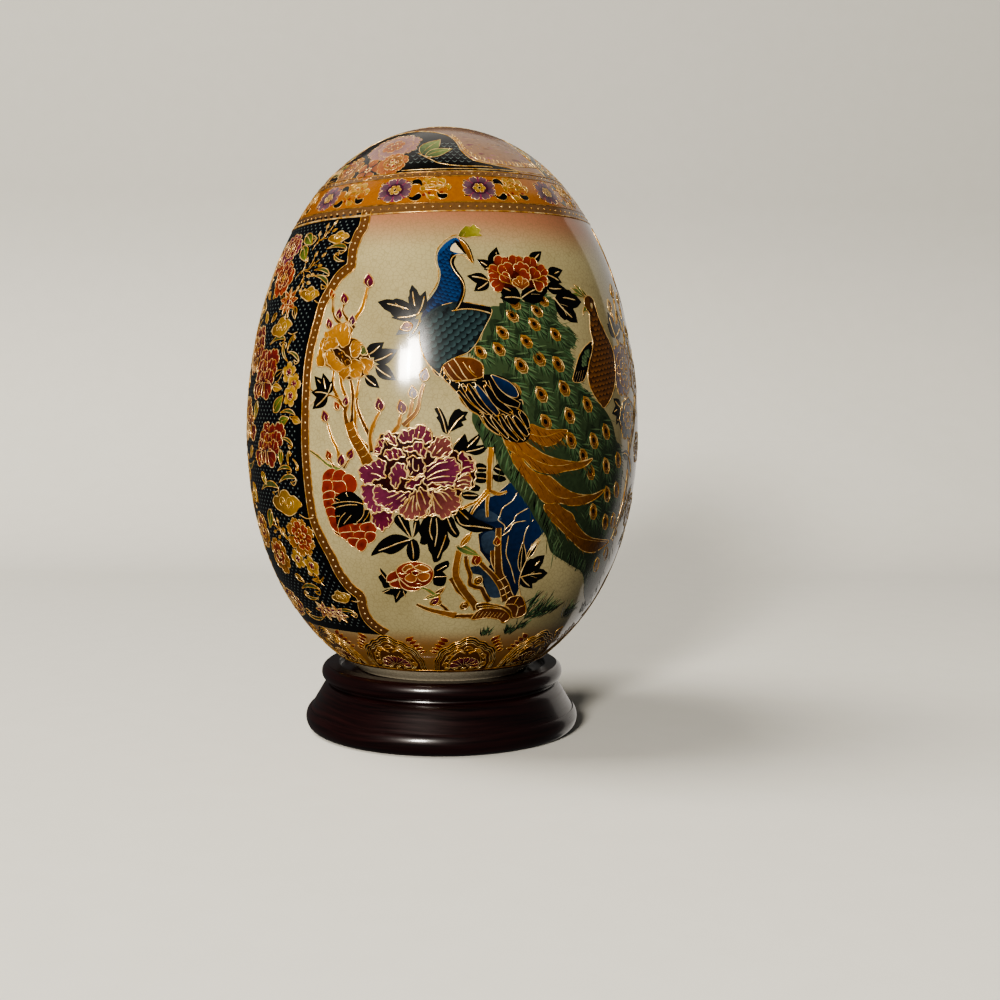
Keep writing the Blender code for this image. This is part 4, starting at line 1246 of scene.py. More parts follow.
TRAIN_ROOT = np.array((-17.0, 31.0))
TRAIN = [
    (-11.5, 34.2), (-7, 34.6), (-3.5, 36.7), (-1.5, 36), (2, 37.8), (5, 38), (9.2, 36), (8, 33), (8.5, 31),
    (10, 29.5), (12.5, 28.5), (14, 27), (13.5, 25), (11.5, 23.5), (12.5, 21), (12, 18), (14, 15.5),
    (16, 12), (20, 10.2), (24, 8), (27, 5.5), (29, 3), (31, -1), (34, -3), (35.5, -8), (36.2, -14),
    (36.6, -20), (37, -27), (36.6, -33), (36, -40), (34.5, -46), (32.5, -51), (29, -49), (26, -46),
    (24.5, -43), (23, -40.5), (20.5, -38), (17, -36.5), (13.5, -34.8), (10, -33), (7, -31), (5, -27),
    (3.5, -25), (0.5, -21.5), (-1.5, -18.5), (-4, -15.5), (-7, -12), (-10.5, -7.5), (-12, -4),
    (-14.5, -2.5), (-16, 0.5), (-17.5, 3), (-18, 6), (-16, 14), (-15, 24), (-13, 30),
]
# The train's wash runs pale at its upper left and deep at its lower right: painted shade.
art.fill(smooth(TRAIN, True), "train green", (60, -60, -5, 20))
hatched(art, TRAIN, TRAIN_ROOT, 760, 4.6, ["copper green", "sage", "olive", "train green"], 20, 0.2, 5)

EYES = [
    (-5.6, 32), (-4.6, 35.4), (-8.8, 27.4), (0.6, 29.9), (1.8, 33.6), (4.0, 36.6), (-2.2, 25.2), (7, 27.4),
    (-15.2, 22.2), (-10.1, 23), (-4.2, 18.8), (7.2, 19.4), (1.4, 11.3), (8.8, 13), (2.6, 4), (10.4, 5.8),
    (17.2, 8.8), (11, -0.8), (19.8, -1), (25.4, 1.4), (18.8, -9.4), (26, -8), (32.7, -6.6), (27.6, -16),
    (21.6, -20.6), (33, -15), (33.5, -24), (28.5, -24), (33, -34), (28.5, -37), (1.2, 20.8), (-6.4, 12.4),
    (15.6, -5),
]


def frond(art, at, size, turn):
    """A train feather's end: barbs that sweep off both sides of its quill."""
    at, way = np.array(at), heading(turn) * size
    art.fill(turned_to(BLADE, at - way * 5, at + way * 4.2, 0.62), "train green", (*at, *(at - way * 9)))
    for k in range(11):
        for side in (1, -1):
            root = at + way * (1.8 - 0.52 * k)
            tip = root + heading(turn + side * (8 + 5.0 * k)) * size * (4.0 + math.sin(0.24 * k))
            art.fill(turned_to(QUILL, root, tip, 0.1),
                ("sage", "train green", "copper green")[(2 * k + side) % 3])


def eye(art, at, size=1.0, turn=-48.0):
    """The eye of a train feather: a gold ring, an amber drop in it and a dark pupil."""
    way = heading(turn) * size
    start, end = np.array(at) - way * 2.5, np.array(at) + way * 2.3
    drop = smooth(both_sides([(0, 0), (0.22, 0.26), (0.52, 0.36), (0.84, 0.28), (1, 0)]), True, 0.3)
    art.shape(turned_to(drop, start, end, 0.86), "tan", (*(end + way), *(start - way * 3)), 0.46)
    art.shape(turned_to(drop, start + way * 0.5, end - way * 0.9, 0.9), "sienna",
        (*(start - way), *(end + way)), 0.28)
    art.fill(turned_to(drop, start + way * 0.9, end - way * 1.4, 0.95), "amber", (*(end + way), *start))
    art.fill(turned_to(drop, start + way * 1.4, end - way * 1.8, 0.95), "black")


art.tone = GOLDEN
for place in sorted(EYES, key=lambda spot: spot[1] - spot[0]):
    down = -44 - 0.45 * (35 - place[1])
    frond(art, place, 0.95 if place[1] > 22 else 1.1, down)
    eye(art, place, 0.9 if place[1] > 22 else 1.05, down)

# Amber plumes that fall over the train's near side, the lowest first.
PLUME_MASS = [
    (-17, 5.5), (-14, 2.8), (-10.5, 0.8), (-8.5, -3), (-7, -6), (-4.5, -9.5), (-2, -12), (3, -17.5),
    (5, -21.5), (8.8, -24.5), (12, -27), (16, -26), (14, -18), (8, -8), (4, 1), (-2, 5), (-10, 8),
]
PLUMES = [
    [(3, -18), (6, -17), (10, -19.3), (13, -20.8), (15, -23.5), (18, -26), (22, -28), (27, -29), (33, -30),
     (29, -31.8), (25, -32.8), (20, -32), (16.3, -30), (12, -27), (8.8, -24.5), (5, -21.5)],
    [(-7, -1.5), (-5.5, -4), (-3, -7), (0, -9.2), (4, -10.1), (6, -11.3), (9.5, -13.6), (14, -15.2),
        (20, -15.7), (25.8, -14.5), (24, -16), (21, -17.3), (17, -18.3), (12, -18.4), (8, -17.5),
        (3, -17.2), (-2, -12), (-7, -6)],
    [(-9.5, -0.5), (-6, 1), (-3.5, -1), (-1, -2.5), (2, -4.2), (6, -5.5), (10, -6.2), (14.5, -6.6),
        (19.4, -5.7), (18, -7), (16, -8), (13, -8.6), (9, -9), (5, -9.6), (0, -8.6), (-4, -5.5), (-8, -3)],
    [(-6, 3), (-2, 3.6), (1, 2.6), (4.5, 2.1), (9.6, 2), (8.5, 0.6), (7.3, -0.6), (5.5, -1.7), (3, -2.3),
     (0.5, -1.6), (-2, -0.4), (-6, 0.4)],
]
# The plumes and the green under them are washed pale at the upper left and deep at the lower right, as
# painted shade.
art.fill(smooth(PLUME_MASS, True), "train green", (30, -60, -5, 20))
hatched(art, PLUME_MASS, TRAIN_ROOT, 160, 3.4, ["copper green", "olive", "black"], 14, 0.24, 9)
for plume in PLUMES:
    outline = smooth(plume, True)
    art.shape(outline, "amber", (36, -44, -6, 4), 0.52)
    start, end = np.array(plume[0]), np.array(plume[8 if len(plume) > 12 else 4])
    hatched(art, outline, start - (9, -14), 150, 3.4, ["umber", "sienna", "yellow"], 6, 0.2, 8)
    middle = (outline[len(outline) // 4] + outline[3 * len(outline) // 4]) / 2
    art.curve([start + (1, -1), middle, end - (1.5, 0.2)], 0.32)

# The fringe of loose barbs along the train's near edge, then the shorter one on its far edge.
near_run = TRAIN[TRAIN.index((26, -46)):TRAIN.index((-18, 6)) + 1][::-1]
far_run = TRAIN[TRAIN.index((8, 33)):TRAIN.index((16, 12)) + 1]
rng = random.Random(11)
for spot in every(smooth(near_run), 0.55):
    back = spot + (rng.uniform(0.4, 3.2), rng.uniform(2.2, 4.2))
    tip = spot + (rng.uniform(0.2, 1.6), rng.uniform(-1.5, -0.3))
    art.fill(turned_to(QUILL, back, tip, 0.09), rng.choice(["copper green", "train green", "sage", "black"]))
for spot in every(smooth(far_run), 0.42):
    back = spot - (rng.uniform(1.6, 3.4), rng.uniform(-2.0, -0.2))
    tip = spot + (rng.uniform(0.5, 1.7), rng.uniform(-1.5, -0.1))
    art.fill(turned_to(QUILL, back, tip, 0.09), rng.choice(["copper green", "train green", "sage"]))

# The leg, its foot on the trunk.
stem(art, [(-13, -2.4), (-13.2, -8), (-13.1, -14)], 1.4, "yellow", 0.6, 0.9)
for toe in ([(-13.4, -13.4), (-16, -16.4), (-20.4, -18.6)], [(-13.2, -14), (-13.4, -17.4), (-13, -20.8)],
        [(-12.8, -13.8), (-10.4, -14.6), (-8.2, -14)], [(-13.4, -14.4), (-16.4, -18), (-17.4, -20)]):
    stem(art, toe, 0.9, "yellow", 0.5)

# The wing: two tiers of long dark feathers between gold lines, then brown coverts.
art.tone = ROSY
art.fill(smooth([(-26, 17.4), (-24.6, 14.4), (-21.4, 11), (-18.8, 7.4), (-15.6, 5.2), (-11.6, 1),
    (-8, -0.8), (-4.4, -1.2), (-2.4, 0.2), (-2.4, 3.4), (-4.2, 7), (-4.6, 10.4), (-6, 13.2), (-9, 15.6),
    (-12.6, 16.4), (-18, 16), (-23, 16.4)], True), "black")
for line, width, pigment in (
    ([(-15.2, 5.6), (-13.6, 3.2), (-10.8, 1)], 1.0, "black"),
    ([(-13, 5.4), (-11, 2.8), (-8.4, 0)], 1.1, "black"),
    ([(-10.8, 5.8), (-8.8, 2.4), (-5.6, -0.7)], 1.3, "midnight"),
    ([(-8.6, 5.8), (-6.6, 2.6), (-3.8, -0.5)], 1.3, "black"),
    ([(-6.8, 5.6), (-4.8, 3), (-2.8, 0.6)], 1.7, "midnight"),
    ([(-5.2, 7), (-3.6, 4.8), (-2.6, 2.6)], 1.6, "black"),
    ([(-21.6, 12), (-19.2, 8.6), (-15.6, 6)], 1.6, "black"),
    ([(-20.4, 13.8), (-17.6, 9.6), (-13.8, 6.2)], 1.3, "midnight"),
    ([(-18.8, 13.8), (-16, 9.4), (-12.6, 6)], 1.3, "midnight"),
    ([(-16.8, 13.4), (-14, 9.4), (-11, 6)], 1.9, "cobalt"),
    ([(-14.4, 13.6), (-11.4, 9.2), (-7.4, 6.4)], 2.0, "midnight"),
    ([(-12.9, 15.2), (-10, 10.6), (-5.2, 8.4)], 2.3, "midnight"),
):
    curve = smooth(line)
    side = leftward(curve) * (np.sin(np.linspace(0.35, 2.7, len(curve))) ** 0.6)[:, None] * width / 2
    art.shape(np.concatenate([curve + side, (curve - side)[::-1]]), pigment, (*curve[-1], *curve[0]), 0.36)
art.shape(smooth([(-12.6, 16.3), (-10, 15.5), (-7.6, 14.4), (-6, 12.8), (-5.4, 11), (-6.4, 10.4),
    (-8.6, 11.1), (-10.6, 12.7), (-12, 14.8)], True), "cobalt", (-11, 10, -8, 15), 0.4)
for x, y in ((-15.4, 6.2), (-13.4, 5.8), (-11.4, 5.4), (-9.6, 5.8), (-7.4, 6.4), (-5.4, 7.2), (-4.6, 9.6)):
    art.curve([(x - 0.7, y + 0.3), (x + 0.2, y + 0.2), (x + 0.5, y - 0.9)], 0.5)
COVERTS = [(-25, 18.4), (-23.8, 19.8), (-22, 20.6), (-20, 20.7), (-17, 20.4), (-15, 19.2), (-14.6, 17.4),
    (-15, 15.8), (-16.8, 15.2), (-19, 14.7), (-21.5, 14.6), (-23.2, 14.9), (-24.6, 16.6)]
art.shape(smooth(COVERTS, True), "sienna", (-19, 9, -19, 24), 0.42)
for line in (
    [(-25, 18.2), (-24, 16.4), (-22.6, 14.8)], [(-24.1, 19.6), (-22.8, 17.6), (-21.6, 15.9), (-20.4, 14.9)],
    [(-22.2, 20.3), (-21, 18.4), (-20, 16.4), (-18.8, 14.9)],
    [(-19.9, 19.6), (-18.9, 17.9), (-17.6, 16.4), (-16.5, 15.6)],
    [(-18.4, 18.6), (-17.9, 17.4), (-17, 16.6)], [(-14.7, 17.8), (-14.8, 15.4)],
    [(-23, 14.6), (-20.6, 14.6), (-18.8, 14.9), (-16.6, 14.8)],
):
    art.curve(line, 0.5)
for x, y in ((-25.4, 16.2), (-24, 14.2), (-21.6, 13.4), (-19.8, 12.4), (-17.4, 13.4), (-14.6, 13.8)):
    art.curve([(x - 0.5, y + 0.8), (x + 0.3, y + 0.9), (x + 0.6, y + 0.2), (x + 0.2, y - 0.7)], 0.5)
art.curve([(-30.8, 22.4), (-28, 18.8), (-25, 15), (-21.4, 11), (-18.7, 7.3), (-16.4, 5.9), (-14.4, 3),
    (-11.6, 1), (-10.2, 0.7)], 0.5)
for line in ([(-10.2, 0.7), (-9.4, -1), (-8, -4), (-6.8, -6)], [(-8.4, -0.4), (-6.6, -2), (-5.6, -4)]):
    art.curve(line, 0.42)

# The body, covered in feathers like tiles, then the neck and head.
BODY = [
    (-30.2, 30.3), (-28.2, 32.3), (-25.8, 33.9), (-22, 35), (-19.3, 35.5), (-12, 34.2), (-11.3, 32.5),
    (-13, 29.5), (-14.5, 27), (-16, 24.5), (-18.5, 22), (-22, 20.5), (-25, 18.6), (-26.4, 15.6),
    (-28.6, 18.5), (-30.2, 21.5), (-30.8, 25), (-30.5, 28),
]
art.shape(smooth(BODY, True), "teal", (-14, 24, -60, 60), 0.42)
scaled(art, BODY, 1.9, "teal")
art.curve([(-30.2, 30.3), (-28, 32.6), (-25, 34.8), (-22, 36), (-18.6, 36.2), (-18.6, 34.6), (-18.9, 33.6)],
    0.5)
art.fill([(-19, 35.4), (-15.5, 34.6), (-11.5, 34.3), (-11.3, 32.6), (-15.5, 33.4), (-21.5, 33.2)], "black")
for line in (
    [(-21.8, 32.9), (-18.5, 33.5), (-15.5, 33.4), (-13, 32.9), (-11.4, 32.4)],
    [(-30, 30.3), (-30.7, 27), (-30.5, 23), (-29, 19), (-26, 16), (-23, 12.8), (-21, 10.5)],
):
    art.curve(line, 0.55)
NECK = [
    (-17.4, 53.2), (-18.6, 53.4), (-20.8, 52), (-22.6, 50.2), (-23.6, 48.4), (-23.9, 46), (-23.5, 43.6),
    (-24, 41.2), (-25, 39), (-26.6, 36.8), (-28.4, 34.6), (-30, 30.6), (-27.4, 32.8), (-24, 34.6),
    (-20.6, 35.4), (-19.4, 35.6), (-18.2, 38), (-18, 40), (-18.6, 42.2), (-19.8, 44.4), (-20.3, 46.4),
    (-19.6, 48.2), (-18, 48.8), (-16.6, 49), (-16, 51.4),
]
art.fill(smooth(NECK, True, 0.5), "peacock blue", (-26, 38, -16, 46))
scaled(art, NECK, 1.2, "peacock blue", 0, -105)
art.curve([(-16.8, 54.6), (-19.4, 53.8), (-22, 51.8), (-23.9, 49), (-24.4, 46), (-24, 43.4), (-25, 40),
    (-27.4, 36.8), (-29.6, 32.6)], 0.5)
art.fill(smooth([(-20, 49.8), (-19.2, 51.4), (-18, 52), (-16.8, 50.6), (-16.4, 49.2), (-18, 49)], True),
    "cream", (-20, 40, -18, 48))
art.fill([(-18.3, 53), (-17.2, 52.2), (-16.2, 50.4), (-15.6, 49), (-16.4, 48.8), (-17.2, 50),
    (-18.2, 51.6)], "black")
art.fill(smooth([(-19.8, 48.8), (-20.8, 46.6), (-20.4, 44.4), (-19, 41.8), (-18.6, 39.6), (-19, 37.4),
    (-20.4, 34.4), (-19.2, 34.6), (-17.8, 37.6), (-17.5, 40), (-18, 42.2), (-19.2, 44.4), (-19.6, 46.4),
    (-18.8, 48.2)], True), "black")
art.fill(smooth([(-17.4, 53.4), (-16.2, 52.2), (-15.2, 50), (-14.5, 46.4), (-15.4, 47.4), (-16.4, 50)],
    True), "amber")
art.fill(smooth([(-17.2, 53.8), (-15.6, 52.4), (-14.6, 50.2), (-14.2, 46.4), (-14.9, 49.4), (-15.8, 51.8)],
    True, 1.0), "black")
art.curve([(-17.2, 53.3), (-15.9, 52), (-15, 49.8), (-14.5, 46.2)], 0.5)
art.curve([(-14.8, 46.3), (-16, 47.8), (-17.6, 48.6), (-19, 48.3), (-20, 47.4), (-20.4, 45.8),
    (-19.6, 43.6), (-18.3, 41.5), (-17.8, 39.6), (-18.2, 37.4), (-19.6, 34.6), (-20.8, 33.2)], 0.5)
CREST = [(-17.4, 53.8), (-16.4, 55.6), (-14.8, 57.2), (-13.4, 57), (-12.6, 57.8), (-11.6, 56.8),
    (-10.8, 56.2), (-11.4, 55.2), (-10.8, 54.4), (-12.6, 54), (-15, 53.7)]
art.shape(CREST, "lime", (-17, 52, -11, 56), 0.3)
for tip in ((-13.6, 57), (-11.8, 56.2), (-11.6, 54.8)):
    art.trail([(-16, 54.2), tip], 0.26)


# ---------------------------------------------------------------------------------------------
# The hen behind the train, brown and scaled, and the flowers round both birds.
# ---------------------------------------------------------------------------------------------

# The spray of flowers that fills the picture's right side, from the hen to the border.
for line, thick in (
    ([(35, -30), (40, -18), (41, -4), (38, 8), (39, 20), (35, 28), (33.4, 35)], 1.6),
    ([(41, -4), (47, 6), (49, 18), (47, 28)], 1.3),
    ([(38.6, 18), (42.6, 30), (43.4, 38)], 1.1), ([(40.4, -16), (47, -22), (50, -30)], 1.2),
    ([(35, 28), (37.6, 35), (37.8, 40)], 1.0),
):
    stem(art, line, thick)
for start, tips in (
    ((34, 28), [(29.6, 31.6), (31, 35), (39.6, 31.6)]), ((41.4, 30), [(46, 34.4), (39, 36)]),
    ((48, 22), [(53.6, 26.6), (44.6, 29)]),
    ((34, 8), [(28.6, 6.4), (31, 3.4), (34.6, 1), (29.6, 10.6)]), ((40.6, -6), [(35.6, -4.4), (45, -12)]),
    ((44, -19), [(39.6, -25), (47.6, -14), (51, -20.4)]),
    ((49.6, -29), [(44.4, -32.4), (52.4, -36), (54.6, -28)]),
    ((47.6, 8), [(53.6, 6), (54, 12.6)]),
):
    sprig(art, start, tips)
for place, size, turn, pigment in (
    ((37.8, 41.8), 3.6, 85, "manganese maroon"), ((33, 37), 3.4, 100, "plum"),
    ((43.6, 40), 3.4, 80, "manganese maroon"), ((46.8, 30), 3.4, 100, "iron red"),
    ((52.6, -32.4), 3.2, 280, "manganese maroon"), ((36.4, -27.4), 3, 120, "iron red"),
):
    bud(art, place, size, turn, pigment)
TWO_RINGS = [(7, 1.0, 32, 3, 1), (6, 0.62, 32, 2, 1)]
for place, size, rings, pigments, heart, turn, gold in (
    ((38, 19), 8.4, [(8, 1.0, 30, 3, 2), (7, 0.7, 30, 2, 1), (5, 0.42, 36, 2, 0)],
        ["lilac", "manganese maroon", "lilac"], "yellow", 10, 0.4),
    ((39.6, 5.4), 6.4, TWO_RINGS, ["slate blue", "lilac"], "yellow", 30, 0.4),
    ((51, 17), 6.0, TWO_RINGS, ["coral", "vermilion"], "yellow", 0, 0.42),
    ((49.4, -21.6), 5.6, TWO_RINGS, ["rose", "manganese maroon"], "yellow", 20, 0.42),
    ((51.6, -3), 4.8, [(6, 1.0, 34, 3, 1), (5, 0.6, 34, 2, 0)], ["yellow", "amber"], "iron red", 0, 0.42),
):
    bloom(art, place, size, rings, pigments, 1.0, heart, turn, gold)

HEN = [
    (19.8, 38.4), (21, 39), (22.6, 38.8), (23.8, 38), (24.4, 35.6), (25.4, 32.6), (27.4, 29.4),
    (29.6, 26.6), (31.4, 23.4), (31.8, 19), (31, 15), (28.6, 11.2), (24.6, 8), (22.6, 9.2), (20, 11.4),
    (18.4, 14), (17.8, 17), (18.8, 20.4), (20.4, 23.6), (21, 26), (20.4, 29), (20.6, 32), (20.8, 34),
    (19.6, 35.2), (19.2, 37),
]
art.shape(smooth(HEN, True), "umber", (24, 44, 24, -6), 0.42)
scaled(art, HEN, 1.7, "hen brown", 0, -80)
art.fill(smooth([(19.6, 38.2), (21.4, 38.8), (22, 37.2), (21.2, 35.4), (19.8, 35.4)], True), "umber",
    (20, 50, 20, 30))
art.shape((22.4, 36.2) + arc_points(0.75, 8) * (0.7, 1.2), "cream", None, 0)
art.shape(smooth([(19.4, 35.8), (18.4, 35), (18, 33.2), (18.8, 34.4), (20, 34.6)], True), "leaf green",
    None, 0.3)
for tip in ((14.6, 39.2), (14.4, 40.8), (16, 41.8), (18, 41.2)):
    leaf(art, (20.8, 38.8), tip, 0.26, "leaf green", 0.28, False)
HEN_WING = [
    (12, 15), (12.8, 18), (14.5, 21.4), (16.5, 23.8), (18.8, 25.4), (20.6, 26), (20.4, 23.6), (18.8, 20.6),
    (17.6, 17.6), (15.6, 15),
]
art.shape(smooth(HEN_WING, True), "midnight", None, 0.42)
scaled(art, [(14.6, 19.4), (16.5, 23.4), (20.2, 25.4), (19, 21.4), (17.4, 18.4)], 1.1, "sage", 0, -130)
for k in range(4):
    art.trail([(12.2 + 1.0 * k, 14.8 + 0.1 * k), (13.6 + 0.9 * k, 17.6 + 0.2 * k)], 0.3)

# The orange-red peony over the peacock's back.
for start, tips in (
    ((-11, 41.4), [(-16.8, 42.6), (-15.4, 38.4)]), ((-9.4, 45), [(-7.4, 51.2), (-13.4, 47.4), (-12, 44.6)]),
    ((1.6, 47.4), [(6, 50.8)]), ((6.4, 44), [(12.4, 45.8), (11.4, 42)]), ((5.6, 40.4), [(12.4, 40.4)]),
    ((8, 37.4), [(12.8, 34.2), (18, 37), (15.4, 31)]),
    ((-2.6, 36.8), [(-9.6, 40.6), (6.6, 41.2), (-8.6, 36.8)]),
):
    sprig(art, start, tips)
art.fill(smooth([(-10.6, 44), (-8, 47.4), (-3, 48.6), (2.4, 48), (6, 45), (5.4, 41.6), (1, 40), (-5, 39.8),
    (-9, 40)], True), "iron red", (0, 40, 0, 90))
for root, tip, half, lobes, veins in (
    ((-7.4, 43.6), (-6.2, 48.8), 36, 2, 1), ((-3, 44.6), (-2.2, 49.2), 40, 2, 1),
    ((1, 44.4), (2.2, 49), 40, 2, 1), ((2.6, 43), (6.6, 46.2), 30, 2, 1),
    ((2.8, 42.4), (6.6, 42), 34, 2, 1), ((-6, 42.6), (-10.8, 45), 26, 2, 1),
    ((-6, 42), (-11.2, 42.2), 24, 2, 1), ((-6, 41.6), (-10.4, 39.2), 28, 2, 1),
    ((1.6, 42.2), (4.6, 39.6), 34, 2, 0), ((-4.6, 42.2), (-6.6, 46.6), 44, 2, 1),
    ((-1, 42.6), (-1.4, 47.2), 44, 3, 1), ((1, 42.2), (3.6, 45.4), 40, 2, 1),
    ((-2.6, 41.4), (0.6, 44.6), 34, 2, 0), ((-4.8, 40.6), (-7.4, 43.6), 34, 2, 1),
):
    petal(art, root, tip, half, lobes, "iron red", 0.5, veins)
petal(art, (-2, 39.2), (-2.2, 43), 60, 3, "coral", 0.5, 4)

# The leaves behind the neck.
for start, tips in (
    ((-30.3, 30.5), [(-37, 26.4), (-33.4, 25.6)]),
    ((-30.6, 32), [(-41.2, 35.4), (-31.4, 40), (-28, 38.4), (-37.8, 31)]),
):
    sprig(art, start, tips, 0.5)
bud(art, (-34, 28.6), 3.2, 200, "iron red")
again_behind(art.make(), "front_picture", "back_picture", (
    ("manganese maroon", "iron red"), ("vermilion", "manganese maroon"), ("yellow", "rose"),
    ("amber", "coral"),
))


# ---------------------------------------------------------------------------------------------
# The side panels between the pictures: a midnight ground set with rows of pale dots, and on it
# clouds, scrolls and flowers that crowd one another from top to bottom.
# ---------------------------------------------------------------------------------------------

SIDE = FRONT - 90.0  # the left panel's middle, in degrees round from the front
GROUND_DOT_PITCH = 2.1
GROUND_ROWS, GROUND_ROW_STEP = 105, 1.1
PANEL_LOW, PANEL_HIGH = -56.5, 60.0
side_art = Painting("left_panel", panel_chart(SIDE))
edge = smooth(BORDER_EDGE)
edge[:, 0] += math.pi / 2 * radius_at(edge[:, 1])
edge -= leftward(edge) * BORDER_WIDTH / 2
side_art.fill(np.concatenate([edge, edge[::-1] * (-1, 1)]), "midnight")
spots = np.array([
    (GROUND_DOT_PITCH * (i + 0.5 * (j % 2)), PANEL_LOW + 1.4 + GROUND_ROW_STEP * j)
    for i in range(-16, 17) for j in range(GROUND_ROWS)
])
near_edge = np.interp(spots[:, 1], edge[::-1, 1], edge[::-1, 0]) - 2.0
for spot in spots[np.abs(spots[:, 0]) < near_edge]:
    side_art.fill(spot + arc_points(0.29, 5), "dot grey")


def level_line(xs, level):
    """Points across a chart at one level."""
    return np.stack([xs, 0 * xs + level], 1)


def hoop(art, xs, low, high, pigment, wash=None):
    """A level strip of enamel between two heights of a chart."""
    art.fill(np.concatenate([level_line(xs, low), level_line(xs, high)[::-1]]), pigment, wash)


def cloud(art, at, length, turn=0.0, pigment="straw", gold=0.5):
    """A cloud with a puffed, curled head and a long thin tail."""
    way = heading(turn) * length
    start = np.array(at) - way / 2
    puffs = [(0, 0), (0.1, 0.12), (0.26, 0.14), (0.36, 0.26), (0.54, 0.29), (0.66, 0.2), (0.8, 0.2),
        (0.98, 0.06), (0.86, -0.02), (0.74, -0.14), (0.52, -0.22), (0.28, -0.16), (0.12, -0.12)]
    art.tone = ROSY
    art.shape(smooth(turned_to(puffs, start, start + way), True, 0.5), pigment,
        (*start, *(start + way * 1.6)), gold)
    for middle, reach in ((0.36, 0.1), (0.62, 0.12)):
        curl = np.concatenate([arc_points(reach, 7, -60, 300),
            arc_points(reach * 0.4, 3, 250, 180)]) + (middle, 0.04)
        art.trail(smooth(turned_to(curl, start, start + way), False, 0.5), gold * 0.7)
    tail = [(0.86, -0.14), (1.05, -0.2), (1.25, -0.16)]
    art.curve(turned_to(tail, start, start + way), gold)


def scroll(art, at, size, turn=0.0, gold=0.5):
    """A hooked scroll: an olive crescent between two gold lines that run together and curl over."""
    art.tone = GOLDEN
    outer, inner = (
        smooth(at + size * spun([
            (-1, -0.1), (-0.3, 0.3 * wide), (0.4, 0.36 * wide), (0.86, 0.05), (0.6, -0.34 * wide),
            (0.25, -0.12),
        ], turn)) for wide in (1.0, 0.3)
    )
    art.fill(np.concatenate([outer, inner[::-1]]), "olive", (*(at - (0, size)), *(at + (0, size))))
    art.trail(outer, gold)
    art.trail(inner, gold * 0.8)


def twig(art, at, size, turn):
    """A leafy twig with small round buds."""
    way = heading(turn) * size
    across = np.array([-way[1], way[0]])
    art.tone = GOLDEN
    art.curve([at - way, at - way * 0.4 + across * 0.14, at + way * 0.2 - across * 0.1,
        at + way * 0.6 + across * 0.1], 0.46)
    for foot, tip, side in ((-0.5, -0.1, 0.5), (-0.2, 0.3, -0.55), (0.1, 0.6, 0.46), (0.3, 0.8, -0.3),
            (0.6, 1.1, 0.12)):
        start, end = at + way * foot, at + way * tip + across * side
        art.curve([start, (start + end) / 2 + way * 0.12, end], 0.42)
        leaf(art, end, end + (end - start) / math.dist(start, end) * 1.7, 0.6, "straw", 0.36)


def spiky(art, at, size, pigment, heart, petals=9, turn=0.0):
    """A flower of pointed petals, each edged and ribbed with gold."""
    art.tone = ROSY
    for reach, count in ((1.0, petals), (0.6, petals - 2)):
        for k in range(count):
            tip = np.array(at) + heading(turn + 360 * k / count + 40 * reach) * (1, 0.9) * size * reach
            leaf(art, at, tip, 0.5, pigment, 0.42)
    art.shape(np.array(at) + arc_points(size * 0.2, 7), heart, None, 0.4)


def orchid(art, at, size, turn=0.0):
    """A yellow blossom of five round petals with a dark, speckled throat."""
    for k in range(5):
        petal(art, at, at + heading(turn + 72 * k) * size, 34, 1, "straw", 0.45, 0)
    art.shape(np.array(at) + arc_points(size * 0.4, 8), "manganese maroon", None, 0.4)
    art.bead(np.array(at) + arc_points(size * 0.24, 4, turn), 0.34)


def red_peony(art, at, size, tall, lean):
    """A full peony seen from its side, in dark red petals under pinkish gold lines."""
    at = np.array(at, float)
    for row, count in enumerate((3, 4, 4, 3)):
        for k in range(count):
            side = (k + 0.5) / count - 0.5
            foot = at + (side * size * 0.7 + lean * (row - 1.5), tall * (0.1 - 0.17 * row))
            tip = foot + (side * size * 0.9, tall * (0.34 - 0.04 * row))
            petal(art, foot, tip, 46, 3, "deep red", 0.45, 2)
    for k in range(5):
        side = k / 4 - 0.5
        foot = at + (side * size * 0.4 + lean * 1.8, -tall * 0.2)
        petal(art, foot, foot + (side * size * 0.9, -tall * 0.28), 40, 2, "deep red", 0.45, 1)


